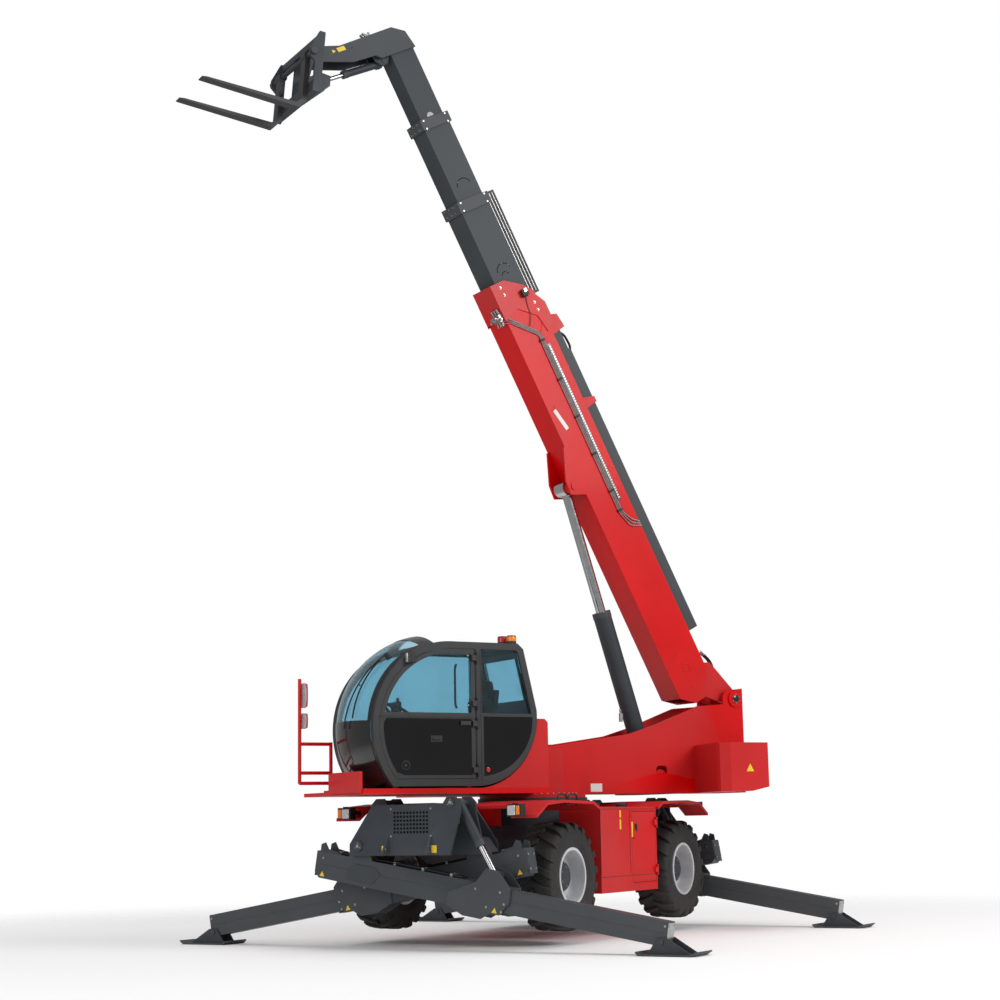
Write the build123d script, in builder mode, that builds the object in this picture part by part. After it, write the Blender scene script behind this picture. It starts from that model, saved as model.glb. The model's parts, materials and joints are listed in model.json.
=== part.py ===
from build123d import *
import os
from math import cos, radians, sin, sqrt

os.makedirs("parts", exist_ok=True)

# Rotating telehandler, millimetres and degrees, +Z up. The carrier faces +X and stands on its
# stabilisers with the wheels lifted. The model's origin is on the ground under the middle of
# the whole machine, and every piece is drawn in the frame of the body that carries it.

# ---------------------------------------------------------------- driving dimensions
# Postures and running fits
SLEW_X = -562.0  # slew axis in the frame of the model
SLEW_Y = 0.0
SLEW_ANGLE = -30.0  # turret turned clockwise, seen from above
BOOM_ANGLE = 62.2  # boom above the horizontal
FORK_ANGLE = 5.2  # fork tips above the horizontal
BEAM_ANGLE = 9.6  # stabiliser beams below the horizontal
GAP = 0.3  # between faces of different bodies that slide or turn on each other
PLAY = 0.05  # radial clearance of a pin in its bore

# Wheels and axles
WHEELBASE = 2840.0
KINGPIN_Y = 850.0
WHEEL_Y = 1057.5
WHEEL_Z = 710.0
TYRE_RADIUS = 575.0
TYRE_WIDTH = 444.0
BEAD_RADIUS = 287.0
FLANGE_RADIUS = 304.0
RIM_WIDTH = 400.0
RIM_WALL = 12.0
DISC_THICKNESS = 22.0
HUB_RADIUS = 130.0
HUB_DEPTH = 105.0
SPINDLE_RADIUS = 80.0
AXLE_RADIUS = 85.0
BOSS_HEIGHT = 280.0
KNUCKLE_EAR = 35.0

# Carrier
SPINE_HALF_WIDTH = 360.0
SPINE_BOTTOM = 860.0
SPINE_TOP = 1250.0
RING_TOP = 1560.0
RING_RADIUS = 640.0
BOX_END_X = 720.0
BOX_OUTER_Y = 1240.0
BOX_INNER_Y = 400.0
BOX_STEP_Y = 730.0
BOX_STEP_Z = 1230.0
BOX_BOTTOM = 500.0
BOX_TOP = 1440.0
BOX_WALL = 20.0
SERVICE_HINGE_X = -702.0
SERVICE_HINGE_Y = 1254.0
GUARD_TOP = 1515.0
GUARD_SHEET = 30.0

# Stabilisers, one pair of crossed beams at each end of the carrier
PLATE = 25.0
GRILLE_PITCH = 40.0
INNER_BEAM_X = WHEELBASE / 2 + 810.0
OUTER_BEAM_X = INNER_BEAM_X + 330.0
PIVOT_Y = 606.0
PIVOT_Z = 1068.0
PIVOT_PIN = 35.0
BEAM_TAIL = -560.0
BEAM_MOUTH = 1850.0
BEAM_TOP = -135.0
BEAM_DEPTH = 280.0
BEAM_WIDTH = 200.0
BEAM_WALL = 12.0
CHEEK = 12.0
LEG_TAIL = 1180.0
LEG_END = 3600.0
LEG_DEPTH = 240.0
LEG_WIDTH = 160.0
LEG_WALL = 10.0
FOOT_PIN_U = 3560.0
FOOT_PIN_W = -350.0
FOOT_PIN = 25.0
RAM_TOP_Y = 541.0
RAM_TOP_Z = 1500.0
RAM_EYE_U = 1608.0
RAM_EYE_W = -50.0
RAM_PIN = 28.0
RAM_BARREL = 50.0
RAM_ROD = 30.0
RAM_BARREL_LENGTH = 520.0
RAM_ROD_START = 345.0

# Turret
TURRET_BOTTOM = 1600.0
SIDE_INNER_Y = 245.0
SIDE_PLATE = 30.0
BOOM_PIVOT_X = -2790.0
BOOM_PIVOT_Z = 2750.0
BOOM_PIN = 60.0
TOWER_REAR_X = -2910.0
LIFT_FOOT_X = -1660.0
LIFT_FOOT_Z = 1800.0
FLOOR_TOP = 1640.0
PLATFORM_TOP = 1660.0
COUNTERWEIGHT_TOP = 2170.0

# Cab
CAB_RIGHT = 240.0
CAB_LEFT = 1240.0
CAB_SIDE = 70.0  # thickness of the side frames
CAB_WALL = 60.0
CAB_FRAME = 75.0  # width of the side frames round their openings
CAB_BOTTOM = 1680.0
CAB_ROOF = 3230.0
POST_FRONT = 1440.0
POST_REAR = 1365.0
CAB_HEIGHT = CAB_ROOF - CAB_BOTTOM
SCREEN_RADIUS = CAB_HEIGHT * 0.6
SCREEN_X = 1750.0  # lateral axis that the windscreen is turned about
SCREEN_Z = CAB_ROOF - SCREEN_RADIUS
SCREEN_EDGE = SCREEN_RADIUS - 15.0
SCREEN_CROWN = SCREEN_RADIUS + 100.0
GLASS = 8.0
DOOR_GAP = 5.0
HINGE_X = 1425.0
HINGE_Y = 1256.0
HINGE_LEVELS = tuple(CAB_BOTTOM + CAB_HEIGHT * share for share in (0.11, 0.43, 0.57, 0.888))
BELT_Z = CAB_BOTTOM + CAB_HEIGHT * 0.503
SILL_Z = CAB_BOTTOM + CAB_HEIGHT * 0.335  # of the right window
SHOULDER_Z = CAB_BOTTOM + CAB_HEIGHT * 0.529  # where the rear wall starts to curve in

# Boom, in its own frame: x along the boom from its pivot, z square to it
BASE_END = 5866.0
LUG_PIN_U = 3278.0
LUG_PIN_W = -803.0
LUG_SPACER_Y = 104.0
LIFT_PIN = 45.0
LIFT_BARREL = 110.0
LIFT_ROD = 60.0
LIFT_EYE = 98.0
LIFT_BARREL_LENGTH = 2085.0
LIFT_ROD_START = 1585.0
SECTION_WALL = 10.0
HEAD_HALF_WIDTH = 150.0
TILT_RAM_U = 8840.0  # upper pin of the tilt cylinder
TILT_RAM_W = -660.0

# Fork carriage, in its own frame: x along the forks from the tilt pivot
CARRIAGE_X = 2800.0  # tilt pivot in the turret's frame
CARRIAGE_Z = 10150.0
CARRIAGE_PIN = 35.0
CARRIAGE_HALF_WIDTH = 570.0
SHAFT_X = 231.0
SHAFT_Z = -190.0
SHAFT_RADIUS = 28.0
FORK_Y = 355.0
FORK_WIDTH = 125.0
FORK_BACK_X = 200.0
FORK_FRONT_X = 262.0
FORK_BOTTOM = -837.0
FORK_TOP = -785.0
FORK_TIP_X = 1464.0
TILT_EYE_X = -150.0  # eye of the tilt cylinder on the carriage
TILT_EYE_Z = -242.0
TILT_BARREL = 45.0
TILT_ROD = 25.0
TILT_PIN = 25.0
TILT_BARREL_LENGTH = 560.0
TILT_ROD_START = 240.0

# ---------------------------------------------------------------- frames of the bodies
MODEL = Location((SLEW_X, SLEW_Y, 0))
ENDS = {"front": MODEL, "rear": MODEL * Location((0, 0, 0), (0, 0, 180))}
TURRET = MODEL * Location((0, 0, 0), (0, 0, SLEW_ANGLE))
BOOM = TURRET * Location((BOOM_PIVOT_X, 0, BOOM_PIVOT_Z), (0, -BOOM_ANGLE, 0))
CARRIAGE = TURRET * Location((CARRIAGE_X, 0, CARRIAGE_Z), (0, -FORK_ANGLE, 0))


# ---------------------------------------------------------------- helpers
def save(piece, name, frame):
    """Put a finished piece in the model's frame and write it under its node's name."""
    placed = piece.part.moved(frame)
    placed.label = name
    export_step(placed, f"parts/{name}.step")


def block(x, y, z, mode=Mode.ADD):
    """Box between the two ends given for each axis."""
    with Locations(((x[0] + x[1]) / 2, (y[0] + y[1]) / 2, (z[0] + z[1]) / 2)):
        Box(x[1] - x[0], y[1] - y[0], z[1] - z[0], mode=mode)


def bar_x(y, z, radius, ends, mode=Mode.ADD):
    """Round bar along X between two ends."""
    with Locations(((ends[0] + ends[1]) / 2, y, z)):
        Cylinder(radius, ends[1] - ends[0], rotation=(0, 90, 0), mode=mode)


def bar_y(x, z, radius, ends, mode=Mode.ADD):
    """Round bar along Y between two ends."""
    with Locations((x, (ends[0] + ends[1]) / 2, z)):
        Cylinder(radius, ends[1] - ends[0], rotation=(90, 0, 0), mode=mode)


def bar_z(x, y, radius, ends, mode=Mode.ADD):
    """Round bar along Z between two ends."""
    with Locations((x, y, (ends[0] + ends[1]) / 2)):
        Cylinder(radius, ends[1] - ends[0], mode=mode)


def side_plate(points, y, mode=Mode.ADD):
    """Plate with an outline of (x, z) points, between two values of y."""
    with BuildSketch(Plane.XZ.offset(-y[1])) as outline:
        with BuildLine():
            Polyline(*points, close=True)
        make_face()
    extrude(outline.sketch, amount=y[1] - y[0], dir=(0, -1, 0), mode=mode)


def cross_plate(points, x, mode=Mode.ADD):
    """Plate with an outline of (y, z) points, between two values of x."""
    with BuildSketch(Plane.YZ.offset(x[0])) as outline:
        with BuildLine():
            Polyline(*points, close=True)
        make_face()
    extrude(outline.sketch, amount=x[1] - x[0], dir=(1, 0, 0), mode=mode)


def pads(x, half, z, slack, gap, outside):
    """Four wear pads between two nested rectangular tubes, fixed to the outer or the inner one.

    half and z are the inner tube's half width and (bottom, top); slack is the space to the outer
    tube at its sides, top and bottom; outside says that the pads belong to the outer tube.
    """
    side_slack, top_slack, bottom_slack = slack
    near = gap if outside else 0
    short = 0 if outside else gap
    for side in (-1, 1):
        y = sorted((side * (half + near), side * (half + side_slack - short)))
        block(x, y, (z[0] + 60, z[1] - 60))
    block(x, (-half + 30, half - 30), (z[1] + near, z[1] + top_slack - short))
    block(x, (-half + 30, half - 30), (z[0] - bottom_slack + short, z[0] - near))


def hinges(axis, skin, levels, fixed):
    """Vertical hinges outside a skin of constant y, for a leaf that lies towards +X of them.

    The fixed half has the pin between two tabs, and the leaf's half has the knuckle.
    """
    x, y = axis
    outer = y - skin - 2
    pin = outer * 0.55
    for z in levels:
        if fixed:
            bar_z(x, y, pin, (z - 60, z + 60))
            for tab in ((z - 60, z - 31), (z + 31, z + 60)):
                bar_z(x, y, outer, tab)
                block((x - outer, x + outer), (skin - 1, y), tab)
        else:
            bar_z(x, y, outer, (z - 30, z + 30))
            block((x, x + 65), (y - 5, y + 7), (z - 30, z + 30))
            block((x + 27, x + 65), (skin - 7, y), (z - 30, z + 30))
            bar_z(x, y, pin + PLAY, (z - 31, z + 31), mode=Mode.SUBTRACT)


# ---------------------------------------------------------------- carrier
HOUSING_START = INNER_BEAM_X - BEAM_WIDTH / 2 - CHEEK - 20 - PLATE  # inner plate's inner face
HOUSING_END = OUTER_BEAM_X + BEAM_WIDTH / 2 + CHEEK + 28 + PLATE  # outer plate's outer face
MIDDLE_X = (INNER_BEAM_X + OUTER_BEAM_X) / 2

with BuildPart() as chassis:
    side_plate(
        [
            (-HOUSING_START, 1000),
            (-HOUSING_START, SPINE_TOP),
            (HOUSING_START, SPINE_TOP),
            (HOUSING_START, 1000),
            (1750, SPINE_BOTTOM),
            (-1750, SPINE_BOTTOM),
        ],
        (-SPINE_HALF_WIDTH, SPINE_HALF_WIDTH),
    )
    bar_z(0, 0, RING_RADIUS, (SPINE_TOP - 1, RING_TOP))
    bar_z(0, 0, RING_RADIUS + 60, (SPINE_TOP - 1, SPINE_TOP + 60))
save(chassis, "chassis", MODEL)

with BuildPart() as driveline:
    for end in (-1, 1):
        axle_x = end * WHEELBASE / 2
        bar_y(axle_x, WHEEL_Z, AXLE_RADIUS, (-KINGPIN_Y, KINGPIN_Y))
        bar_y(axle_x, WHEEL_Z, 150, (-170, 170))
        block((axle_x - 110, axle_x + 110), (-150, 150), (WHEEL_Z, SPINE_BOTTOM))
        for side in (-1, 1):
            boss = (WHEEL_Z - BOSS_HEIGHT / 2, WHEEL_Z + BOSS_HEIGHT / 2)
            bar_z(axle_x, side * KINGPIN_Y, AXLE_RADIUS, boss)
    # Engine with its gearbox, closed inside the right side box
    block((-500, 500), (-1150, -450), (BOX_BOTTOM + BOX_WALL, 1200))
save(driveline, "driveline", MODEL)

# One housing: outlines in (y, z) of the plate nearest the wheels, the middle one and the last.
CORNER = [(440, 1490), (490, 1560), (590, 1560), (650, 1500), (650, 1390)]
HOOK = [(720, 1120), (720, 966)]
SLOPE = [(-720, 966), (-720, 1090), (-430, 1490)]
OUTER_OUTLINE = SLOPE + CORNER + [(520, 966)]
INNER_OUTLINE = [(-y, z) for y, z in OUTER_OUTLINE]
MIDDLE_OUTLINE = CORNER + HOOK + [(-y, z) for y, z in reversed(CORNER + HOOK)]

with BuildPart() as housing:
    cross_plate(INNER_OUTLINE, (HOUSING_START, HOUSING_START + PLATE))
    cross_plate(MIDDLE_OUTLINE, (MIDDLE_X - PLATE / 2, MIDDLE_X + PLATE / 2))
    cross_plate(OUTER_OUTLINE, (HOUSING_END - PLATE, HOUSING_END))
    block((HOUSING_START, HOUSING_END), (-350, 350), (1110, 1450))
    # Pivot pins of the beams and top pins of their cylinders
    bar_x(PIVOT_Y, PIVOT_Z, PIVOT_PIN, (HOUSING_START, MIDDLE_X))
    bar_x(-PIVOT_Y, PIVOT_Z, PIVOT_PIN, (MIDDLE_X, HOUSING_END))
    bar_x(-PIVOT_Y, PIVOT_Z, PIVOT_PIN + 20, (HOUSING_END, HOUSING_END + 18))
    bar_x(-RAM_TOP_Y, RAM_TOP_Z, RAM_PIN, (HOUSING_START, MIDDLE_X))
    bar_x(RAM_TOP_Y, RAM_TOP_Z, RAM_PIN, (MIDDLE_X, HOUSING_END))
    bar_x(RAM_TOP_Y, RAM_TOP_Z, RAM_PIN + 16, (HOUSING_END, HOUSING_END + 15))
    # Lashing lugs on the outer plate
    for lug_y in (-240, 290):
        side_plate(
            [(HOUSING_END, 985), (HOUSING_END + 110, 985), (HOUSING_END, 1170)],
            (lug_y - 12, lug_y + 12),
        )
        bar_y(HOUSING_END + 40, 1035, 22, (lug_y - 12, lug_y + 12), mode=Mode.SUBTRACT)
with BuildPart() as front_housing:
    add(housing.part)
    # Grille of the cooler's outlet
    with BuildSketch(Plane.YZ.offset(HOUSING_END - PLATE)) as grille:
        with Locations((50, 1305)):
            with GridLocations(GRILLE_PITCH, GRILLE_PITCH, 11, 6):
                Rectangle(GRILLE_PITCH * 0.7, GRILLE_PITCH * 0.6)
    extrude(grille.sketch, amount=PLATE + 1, mode=Mode.SUBTRACT)
save(front_housing, "front_stabiliser_housing", ENDS["front"])
save(housing, "rear_stabiliser_housing", ENDS["rear"])

DOOR_FRONT_X = -70.0
DOOR_REAR_X = -690.0
DOOR_BOTTOM_Z = 590.0
DOOR_TOP_Z = 1390.0
SERVICE_LEVELS = (720, 1260)

with BuildPart() as side_boxes:
    for side in (-1, 1):
        # Stepped inwards at the top, to clear the slewing ring
        for wall, mode in ((0, Mode.ADD), (BOX_WALL, Mode.SUBTRACT)):
            section = [
                (side * (BOX_INNER_Y + wall), BOX_BOTTOM + wall),
                (side * (BOX_OUTER_Y - wall), BOX_BOTTOM + wall),
                (side * (BOX_OUTER_Y - wall), BOX_TOP - wall),
                (side * (BOX_STEP_Y + wall), BOX_TOP - wall),
                (side * (BOX_STEP_Y + wall), BOX_STEP_Z - wall),
                (side * (BOX_INNER_Y + wall), BOX_STEP_Z - wall),
            ]
            cross_plate(section, (-BOX_END_X + wall, BOX_END_X - wall), mode=mode)
    # Doorway of the left box
    opening_y = (BOX_OUTER_Y - BOX_WALL, BOX_OUTER_Y)
    door_x = (DOOR_REAR_X, DOOR_FRONT_X)
    block(door_x, opening_y, (DOOR_BOTTOM_Z, DOOR_TOP_Z), mode=Mode.SUBTRACT)
    hinges((SERVICE_HINGE_X, SERVICE_HINGE_Y), BOX_OUTER_Y, SERVICE_LEVELS, True)
    # Brackets to the spine
    for side in (-1, 1):
        for x in (-500, 500):
            y = sorted((side * SPINE_HALF_WIDTH, side * BOX_INNER_Y))
            block((x - 60, x + 60), y, (1000, 1200))
save(side_boxes, "side_boxes", MODEL)

with BuildPart() as service_door:
    leaf_x = (DOOR_REAR_X + DOOR_GAP, DOOR_FRONT_X - DOOR_GAP)
    leaf_z = (DOOR_BOTTOM_Z + DOOR_GAP, DOOR_TOP_Z - DOOR_GAP)
    block(leaf_x, (BOX_OUTER_Y - BOX_WALL, BOX_OUTER_Y), leaf_z)
    handle_x = DOOR_FRONT_X - 60
    block((handle_x - 20, handle_x + 20), (BOX_OUTER_Y - 1, BOX_OUTER_Y + 12), (1080, 1180))
    hinges((SERVICE_HINGE_X, SERVICE_HINGE_Y), BOX_OUTER_Y, SERVICE_LEVELS, False)
save(service_door, "service_door", MODEL)

# Mudguard sheet in (x, z), from its rear edge over the wheel to its drooping front lip
SHEET_BACK = 760.0
SHEET = [(SHEET_BACK, 1440), (900, 1500), (1600, GUARD_TOP), (1950, 1490), (2190, 1360)]

with BuildPart() as mudguards:
    for end in (-1, 1):
        for side in (-1, 1):
            top = [(end * x, z) for x, z in SHEET]
            under = [(x, z - GUARD_SHEET) for x, z in reversed(top)]
            y = sorted((side * SPINE_HALF_WIDTH, side * 1260))
            side_plate(top + under, y)
        # Cut back round the stabilisers, and carried on a bracket across the spine
        notch = sorted((end * 2000, end * 2300))
        block(notch, (-950, 950), (1200, 1600), mode=Mode.SUBTRACT)
        block((end * 1500 - 60, end * 1500 + 60), (-400, 400), (SPINE_TOP, 1490))
save(mudguards, "mudguards", MODEL)

with BuildPart() as road_lamps:
    for side in (-1, 1):
        block((2230, 2330), (side * 1060 - 85, side * 1060 + 85), (1345, 1475))
        block((2120, 2230), (side * 1000 - 20, side * 1000 + 20), (1398.2, 1440))
        block((-2330, -2250), (side * 1000 - 130, side * 1000 + 130), (1400, 1500))
        block((-2250, -2120), (side * 1000 - 20, side * 1000 + 20), (1398.2, 1440))
save(road_lamps, "road_lamps", MODEL)


# ---------------------------------------------------------------- wheels
with BuildPart() as knuckle:
    for level in (-1, 1):
        ear = sorted((level * (BOSS_HEIGHT / 2 + GAP), level * (BOSS_HEIGHT / 2 + KNUCKLE_EAR)))
        block((-95, 95), (-90, 150), ear)
    reach = BOSS_HEIGHT / 2 + KNUCKLE_EAR
    block((-95, 95), (AXLE_RADIUS + 10, 150), (-reach, reach))
    bar_y(0, 0, SPINDLE_RADIUS, (150, WHEEL_Y - KINGPIN_Y + 28))

with BuildPart() as rim:
    half = RIM_WIDTH / 2
    with BuildSketch(Plane.XY) as rim_section:
        with BuildLine():
            Polyline(
                (BEAD_RADIUS - RIM_WALL, -half),
                (FLANGE_RADIUS, -half),
                (FLANGE_RADIUS, -half + RIM_WALL),
                (BEAD_RADIUS, -half + RIM_WALL),
                (BEAD_RADIUS, half - RIM_WALL),
                (FLANGE_RADIUS, half - RIM_WALL),
                (FLANGE_RADIUS, half),
                (BEAD_RADIUS - RIM_WALL, half),
                (BEAD_RADIUS - RIM_WALL, DISC_THICKNESS / 2),
                (HUB_RADIUS, DISC_THICKNESS / 2),
                (HUB_RADIUS - 15, HUB_DEPTH),
                (0, HUB_DEPTH + 10),
                (0, 32),
                (SPINDLE_RADIUS + PLAY, 32),
                (SPINDLE_RADIUS + PLAY, -DISC_THICKNESS / 2),
                (BEAD_RADIUS - RIM_WALL, -DISC_THICKNESS / 2),
                close=True,
            )
        make_face()
    revolve(axis=Axis.Y)

with BuildPart() as tyre:
    half = TYRE_WIDTH / 2
    bead = RIM_WIDTH / 2 - RIM_WALL - GAP
    with BuildSketch(Plane.XY) as tyre_section:
        with BuildLine():
            Line((BEAD_RADIUS + GAP, -bead), (FLANGE_RADIUS + 20, -bead))
            ThreePointArc((FLANGE_RADIUS + 20, -bead), (430, -half), (540, -half + 16))
            Polyline(
                (540, -half + 16),
                (TYRE_RADIUS, -half + 40),
                (TYRE_RADIUS, half - 40),
                (540, half - 16),
            )
            ThreePointArc((540, half - 16), (430, half), (FLANGE_RADIUS + 20, bead))
            Polyline(
                (FLANGE_RADIUS + 20, bead),
                (BEAD_RADIUS + GAP, bead),
                (BEAD_RADIUS + GAP, -bead),
            )
        make_face()
    revolve(axis=Axis.Y)

WHEELS = [
    # name, end (front +1), side (left +1)
    ("front_left", 1, 1),
    ("front_right", 1, -1),
    ("rear_left", -1, 1),
    ("rear_right", -1, -1),
]
for name, end, side in WHEELS:
    turned = (0, 0, 0) if side == 1 else (0, 0, 180)
    hub = MODEL * Location((end * WHEELBASE / 2, side * WHEEL_Y, WHEEL_Z), turned)
    kingpin = MODEL * Location((end * WHEELBASE / 2, side * KINGPIN_Y, WHEEL_Z), turned)
    save(knuckle, f"{name}_knuckle", kingpin)
    save(rim, f"{name}_rim", hub)
    save(tyre, f"{name}_tyre", hub)


# ---------------------------------------------------------------- stabilisers
# Beam frame: x along the beam from its pivot, y square to it and up, z along the carrier.
BEAM_BOTTOM = BEAM_TOP - BEAM_DEPTH
LEG_TOP = BEAM_TOP - (BEAM_DEPTH - LEG_DEPTH) / 2
LEG_BOTTOM = LEG_TOP - LEG_DEPTH
SLACK_W = (BEAM_DEPTH - LEG_DEPTH) / 2 - BEAM_WALL
SLACK_N = (BEAM_WIDTH - LEG_WIDTH) / 2 - BEAM_WALL


def beam_outline(points, n, mode=Mode.ADD):
    """Plate in the plane of the beam, between two distances along the carrier."""
    with BuildSketch(Plane.XY.offset(n[0])) as outline:
        with BuildLine():
            Polyline(*points, close=True)
        make_face()
    extrude(outline.sketch, amount=n[1] - n[0], dir=(0, 0, 1), mode=mode)


with BuildPart() as beam:
    width = BEAM_WIDTH / 2
    beam_outline(
        [
            (BEAM_TAIL, BEAM_TOP),
            (BEAM_MOUTH, BEAM_TOP),
            (BEAM_MOUTH, BEAM_BOTTOM),
            (BEAM_TAIL + 60, BEAM_BOTTOM),
            (BEAM_TAIL, BEAM_BOTTOM + 60),
        ],
        (-width, width),
    )
    block(
        (BEAM_TAIL + 60, BEAM_MOUTH),
        (BEAM_BOTTOM + BEAM_WALL, BEAM_TOP - BEAM_WALL),
        (-width + BEAM_WALL, width - BEAM_WALL),
        mode=Mode.SUBTRACT,
    )
    # Pivot lug
    beam_outline([(-150, BEAM_TOP), (150, BEAM_TOP), (70, 30), (-70, 30)], (-width, width))
    bar_z(0, 0, 76, (-width, width))
    bar_z(0, 0, PIVOT_PIN + PLAY, (-width, width), mode=Mode.SUBTRACT)
    # Cheek plates round the mouth, with the stub pins of the cylinder's eye
    for side in (-1, 1):
        n = sorted((side * width, side * (width + CHEEK)))
        cheek = [
            (1130, BEAM_BOTTOM),
            (1330, BEAM_BOTTOM - 75),
            (1550, BEAM_BOTTOM - 75),
            (1640, BEAM_BOTTOM - 6),
            (BEAM_MOUTH, BEAM_BOTTOM),
            (BEAM_MOUTH, BEAM_TOP),
            (1690, 20),
            (1540, 20),
            (1440, BEAM_TOP),
            (1130, BEAM_BOTTOM + 130),
        ]
        beam_outline(cheek, n)
        bar_z(RAM_EYE_U, RAM_EYE_W, RAM_PIN, sorted((side * 60, side * (width + CHEEK))))
        bar_z(RAM_EYE_U, RAM_EYE_W, RAM_PIN + 14, sorted((side * 60, side * width)))
    # Wear pads at the mouth
    pad_x = (BEAM_MOUTH - 90, BEAM_MOUTH)
    for side in (-1, 1):
        n = sorted((side * (LEG_WIDTH / 2 + GAP), side * (width - BEAM_WALL)))
        block(pad_x, (LEG_BOTTOM + 40, LEG_TOP - 40), n)
    block(pad_x, (LEG_TOP + GAP, LEG_TOP + SLACK_W), (-60, 60))
    block(pad_x, (LEG_BOTTOM - SLACK_W, LEG_BOTTOM - GAP), (-60, 60))
    # Lower corners of the mouth, cut back so that the foot's ears pass when the leg is drawn in
    corner = [
        (BEAM_MOUTH - 95, BEAM_BOTTOM - 80),
        (BEAM_MOUTH - 95, BEAM_BOTTOM),
        (BEAM_MOUTH - 10, BEAM_BOTTOM + 115),
        (BEAM_MOUTH + 10, BEAM_BOTTOM + 115),
        (BEAM_MOUTH + 10, BEAM_BOTTOM - 80),
    ]
    for side in (-1, 1):
        n = sorted((side * (LEG_WIDTH / 2 - 3), side * (width + CHEEK + 5)))
        beam_outline(corner, n, mode=Mode.SUBTRACT)

with BuildPart() as leg:
    half = LEG_WIDTH / 2
    block((LEG_TAIL, LEG_END), (LEG_BOTTOM, LEG_TOP), (-half, half))
    block(
        (LEG_TAIL, LEG_END - LEG_WALL),
        (LEG_BOTTOM + LEG_WALL, LEG_TOP - LEG_WALL),
        (-half + LEG_WALL, half - LEG_WALL),
        mode=Mode.SUBTRACT,
    )
    # Wear pads at the tail
    pad_x = (LEG_TAIL, LEG_TAIL + 80)
    for side in (-1, 1):
        n = sorted((side * half, side * (half + SLACK_N - GAP)))
        block(pad_x, (LEG_BOTTOM + 40, LEG_TOP - 40), n)
    block(pad_x, (LEG_TOP, LEG_TOP + SLACK_W - GAP), (-60, 60))
    block(pad_x, (LEG_BOTTOM - SLACK_W + GAP, LEG_BOTTOM), (-60, 60))
    bar_z(FOOT_PIN_U, FOOT_PIN_W, FOOT_PIN + PLAY, (-half, half), mode=Mode.SUBTRACT)

# Height of the foot's pin above the ground
TILT = radians(BEAM_ANGLE)
FOOT_PIN_Z = PIVOT_Z - FOOT_PIN_U * sin(TILT) + FOOT_PIN_W * cos(TILT)
FOOT_PIN_Y = FOOT_PIN_U * cos(TILT) + FOOT_PIN_W * sin(TILT) - PIVOT_Y

with BuildPart() as foot:
    # Pan with turned-up ends, outlined in (y, z) from the pin, then its two ears
    sole = -FOOT_PIN_Z
    pan = [
        (-240, sole + 32),
        (-205, sole),
        (350, sole),
        (400, sole + 34),
        (392, sole + 44),
        (345, sole + 14),
        (-200, sole + 14),
        (-230, sole + 42),
    ]
    cross_plate(pan, (-200, 200))
    for side in (-1, 1):
        x = sorted((side * (LEG_WIDTH / 2 + 2), side * (LEG_WIDTH / 2 + 20)))
        cross_plate([(-150, sole + 14), (310, sole + 14), (55, 38), (-45, 38)], x)
    bar_x(0, 0, FOOT_PIN, (-LEG_WIDTH / 2 - 34, LEG_WIDTH / 2 + 34))

# Stabiliser cylinder, from its top pin towards its eye
TOP_U = (RAM_TOP_Y + PIVOT_Y) * cos(TILT) - (RAM_TOP_Z - PIVOT_Z) * sin(TILT)
TOP_W = (RAM_TOP_Y + PIVOT_Y) * sin(TILT) + (RAM_TOP_Z - PIVOT_Z) * cos(TILT)
RAM_LENGTH = sqrt((RAM_EYE_U - TOP_U) ** 2 + (RAM_EYE_W - TOP_W) ** 2)


def cylinder_pair(barrel_radius, rod_radius, barrel_length, rod_start, length, eye, width, pins):
    """Barrel and rod of a cylinder along X, its first pin at the origin and its eye at length.

    eye is the eyes' radius, width their half width, and pins the bore of each eye.
    """
    with BuildPart() as barrel:
        bar_z(0, 0, eye, (-width, width))
        bar_x(0, 0, barrel_radius, (eye * 0.6, barrel_length))
        bar_x(0, 0, barrel_radius + 4, (barrel_length - 70, barrel_length))
        bar_x(0, 0, rod_radius + GAP, (eye + 30, barrel_length), mode=Mode.SUBTRACT)
        bar_z(0, 0, pins[0], (-width - 60, width + 60), mode=Mode.SUBTRACT)
    with BuildPart() as rod:
        bar_x(0, 0, rod_radius, (rod_start, length - eye * 0.6))
        bar_z(length, 0, eye, (-width, width))
        with Locations((length, 0, 0)):
            Cylinder(pins[1], 2 * width + 120, mode=Mode.SUBTRACT)
    return barrel, rod


ram_barrel, ram_rod = cylinder_pair(
    RAM_BARREL,
    RAM_ROD,
    RAM_BARREL_LENGTH,
    RAM_ROD_START,
    RAM_LENGTH,
    46,
    42,
    (RAM_PIN + PLAY, RAM_PIN),
)

STABILISERS = [
    # name, end frame, side of the foot in that frame, plane of the beam
    ("front_left", "front", 1, OUTER_BEAM_X),
    ("front_right", "front", -1, INNER_BEAM_X),
    ("rear_right", "rear", 1, OUTER_BEAM_X),
    ("rear_left", "rear", -1, INNER_BEAM_X),
]
for name, end, side, x in STABILISERS:
    along = (0, side * cos(TILT), -sin(TILT))
    beam_frame = ENDS[end] * Plane((x, -side * PIVOT_Y, PIVOT_Z), along, (side, 0, 0)).location
    save(beam, f"{name}_beam", beam_frame)
    save(leg, f"{name}_leg", beam_frame)
    turned = (0, 0, 0) if side == 1 else (0, 0, 180)
    save(foot, f"{name}_foot", ENDS[end] * Location((x, side * FOOT_PIN_Y, FOOT_PIN_Z), turned))
    towards = (RAM_EYE_U - TOP_U, RAM_EYE_W - TOP_W, 0)
    ram_frame = beam_frame * Plane((TOP_U, TOP_W, 0), towards, (0, 0, 1)).location
    save(ram_barrel, f"{name}_ram_barrel", ram_frame)
    save(ram_rod, f"{name}_ram_rod", ram_frame)


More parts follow.
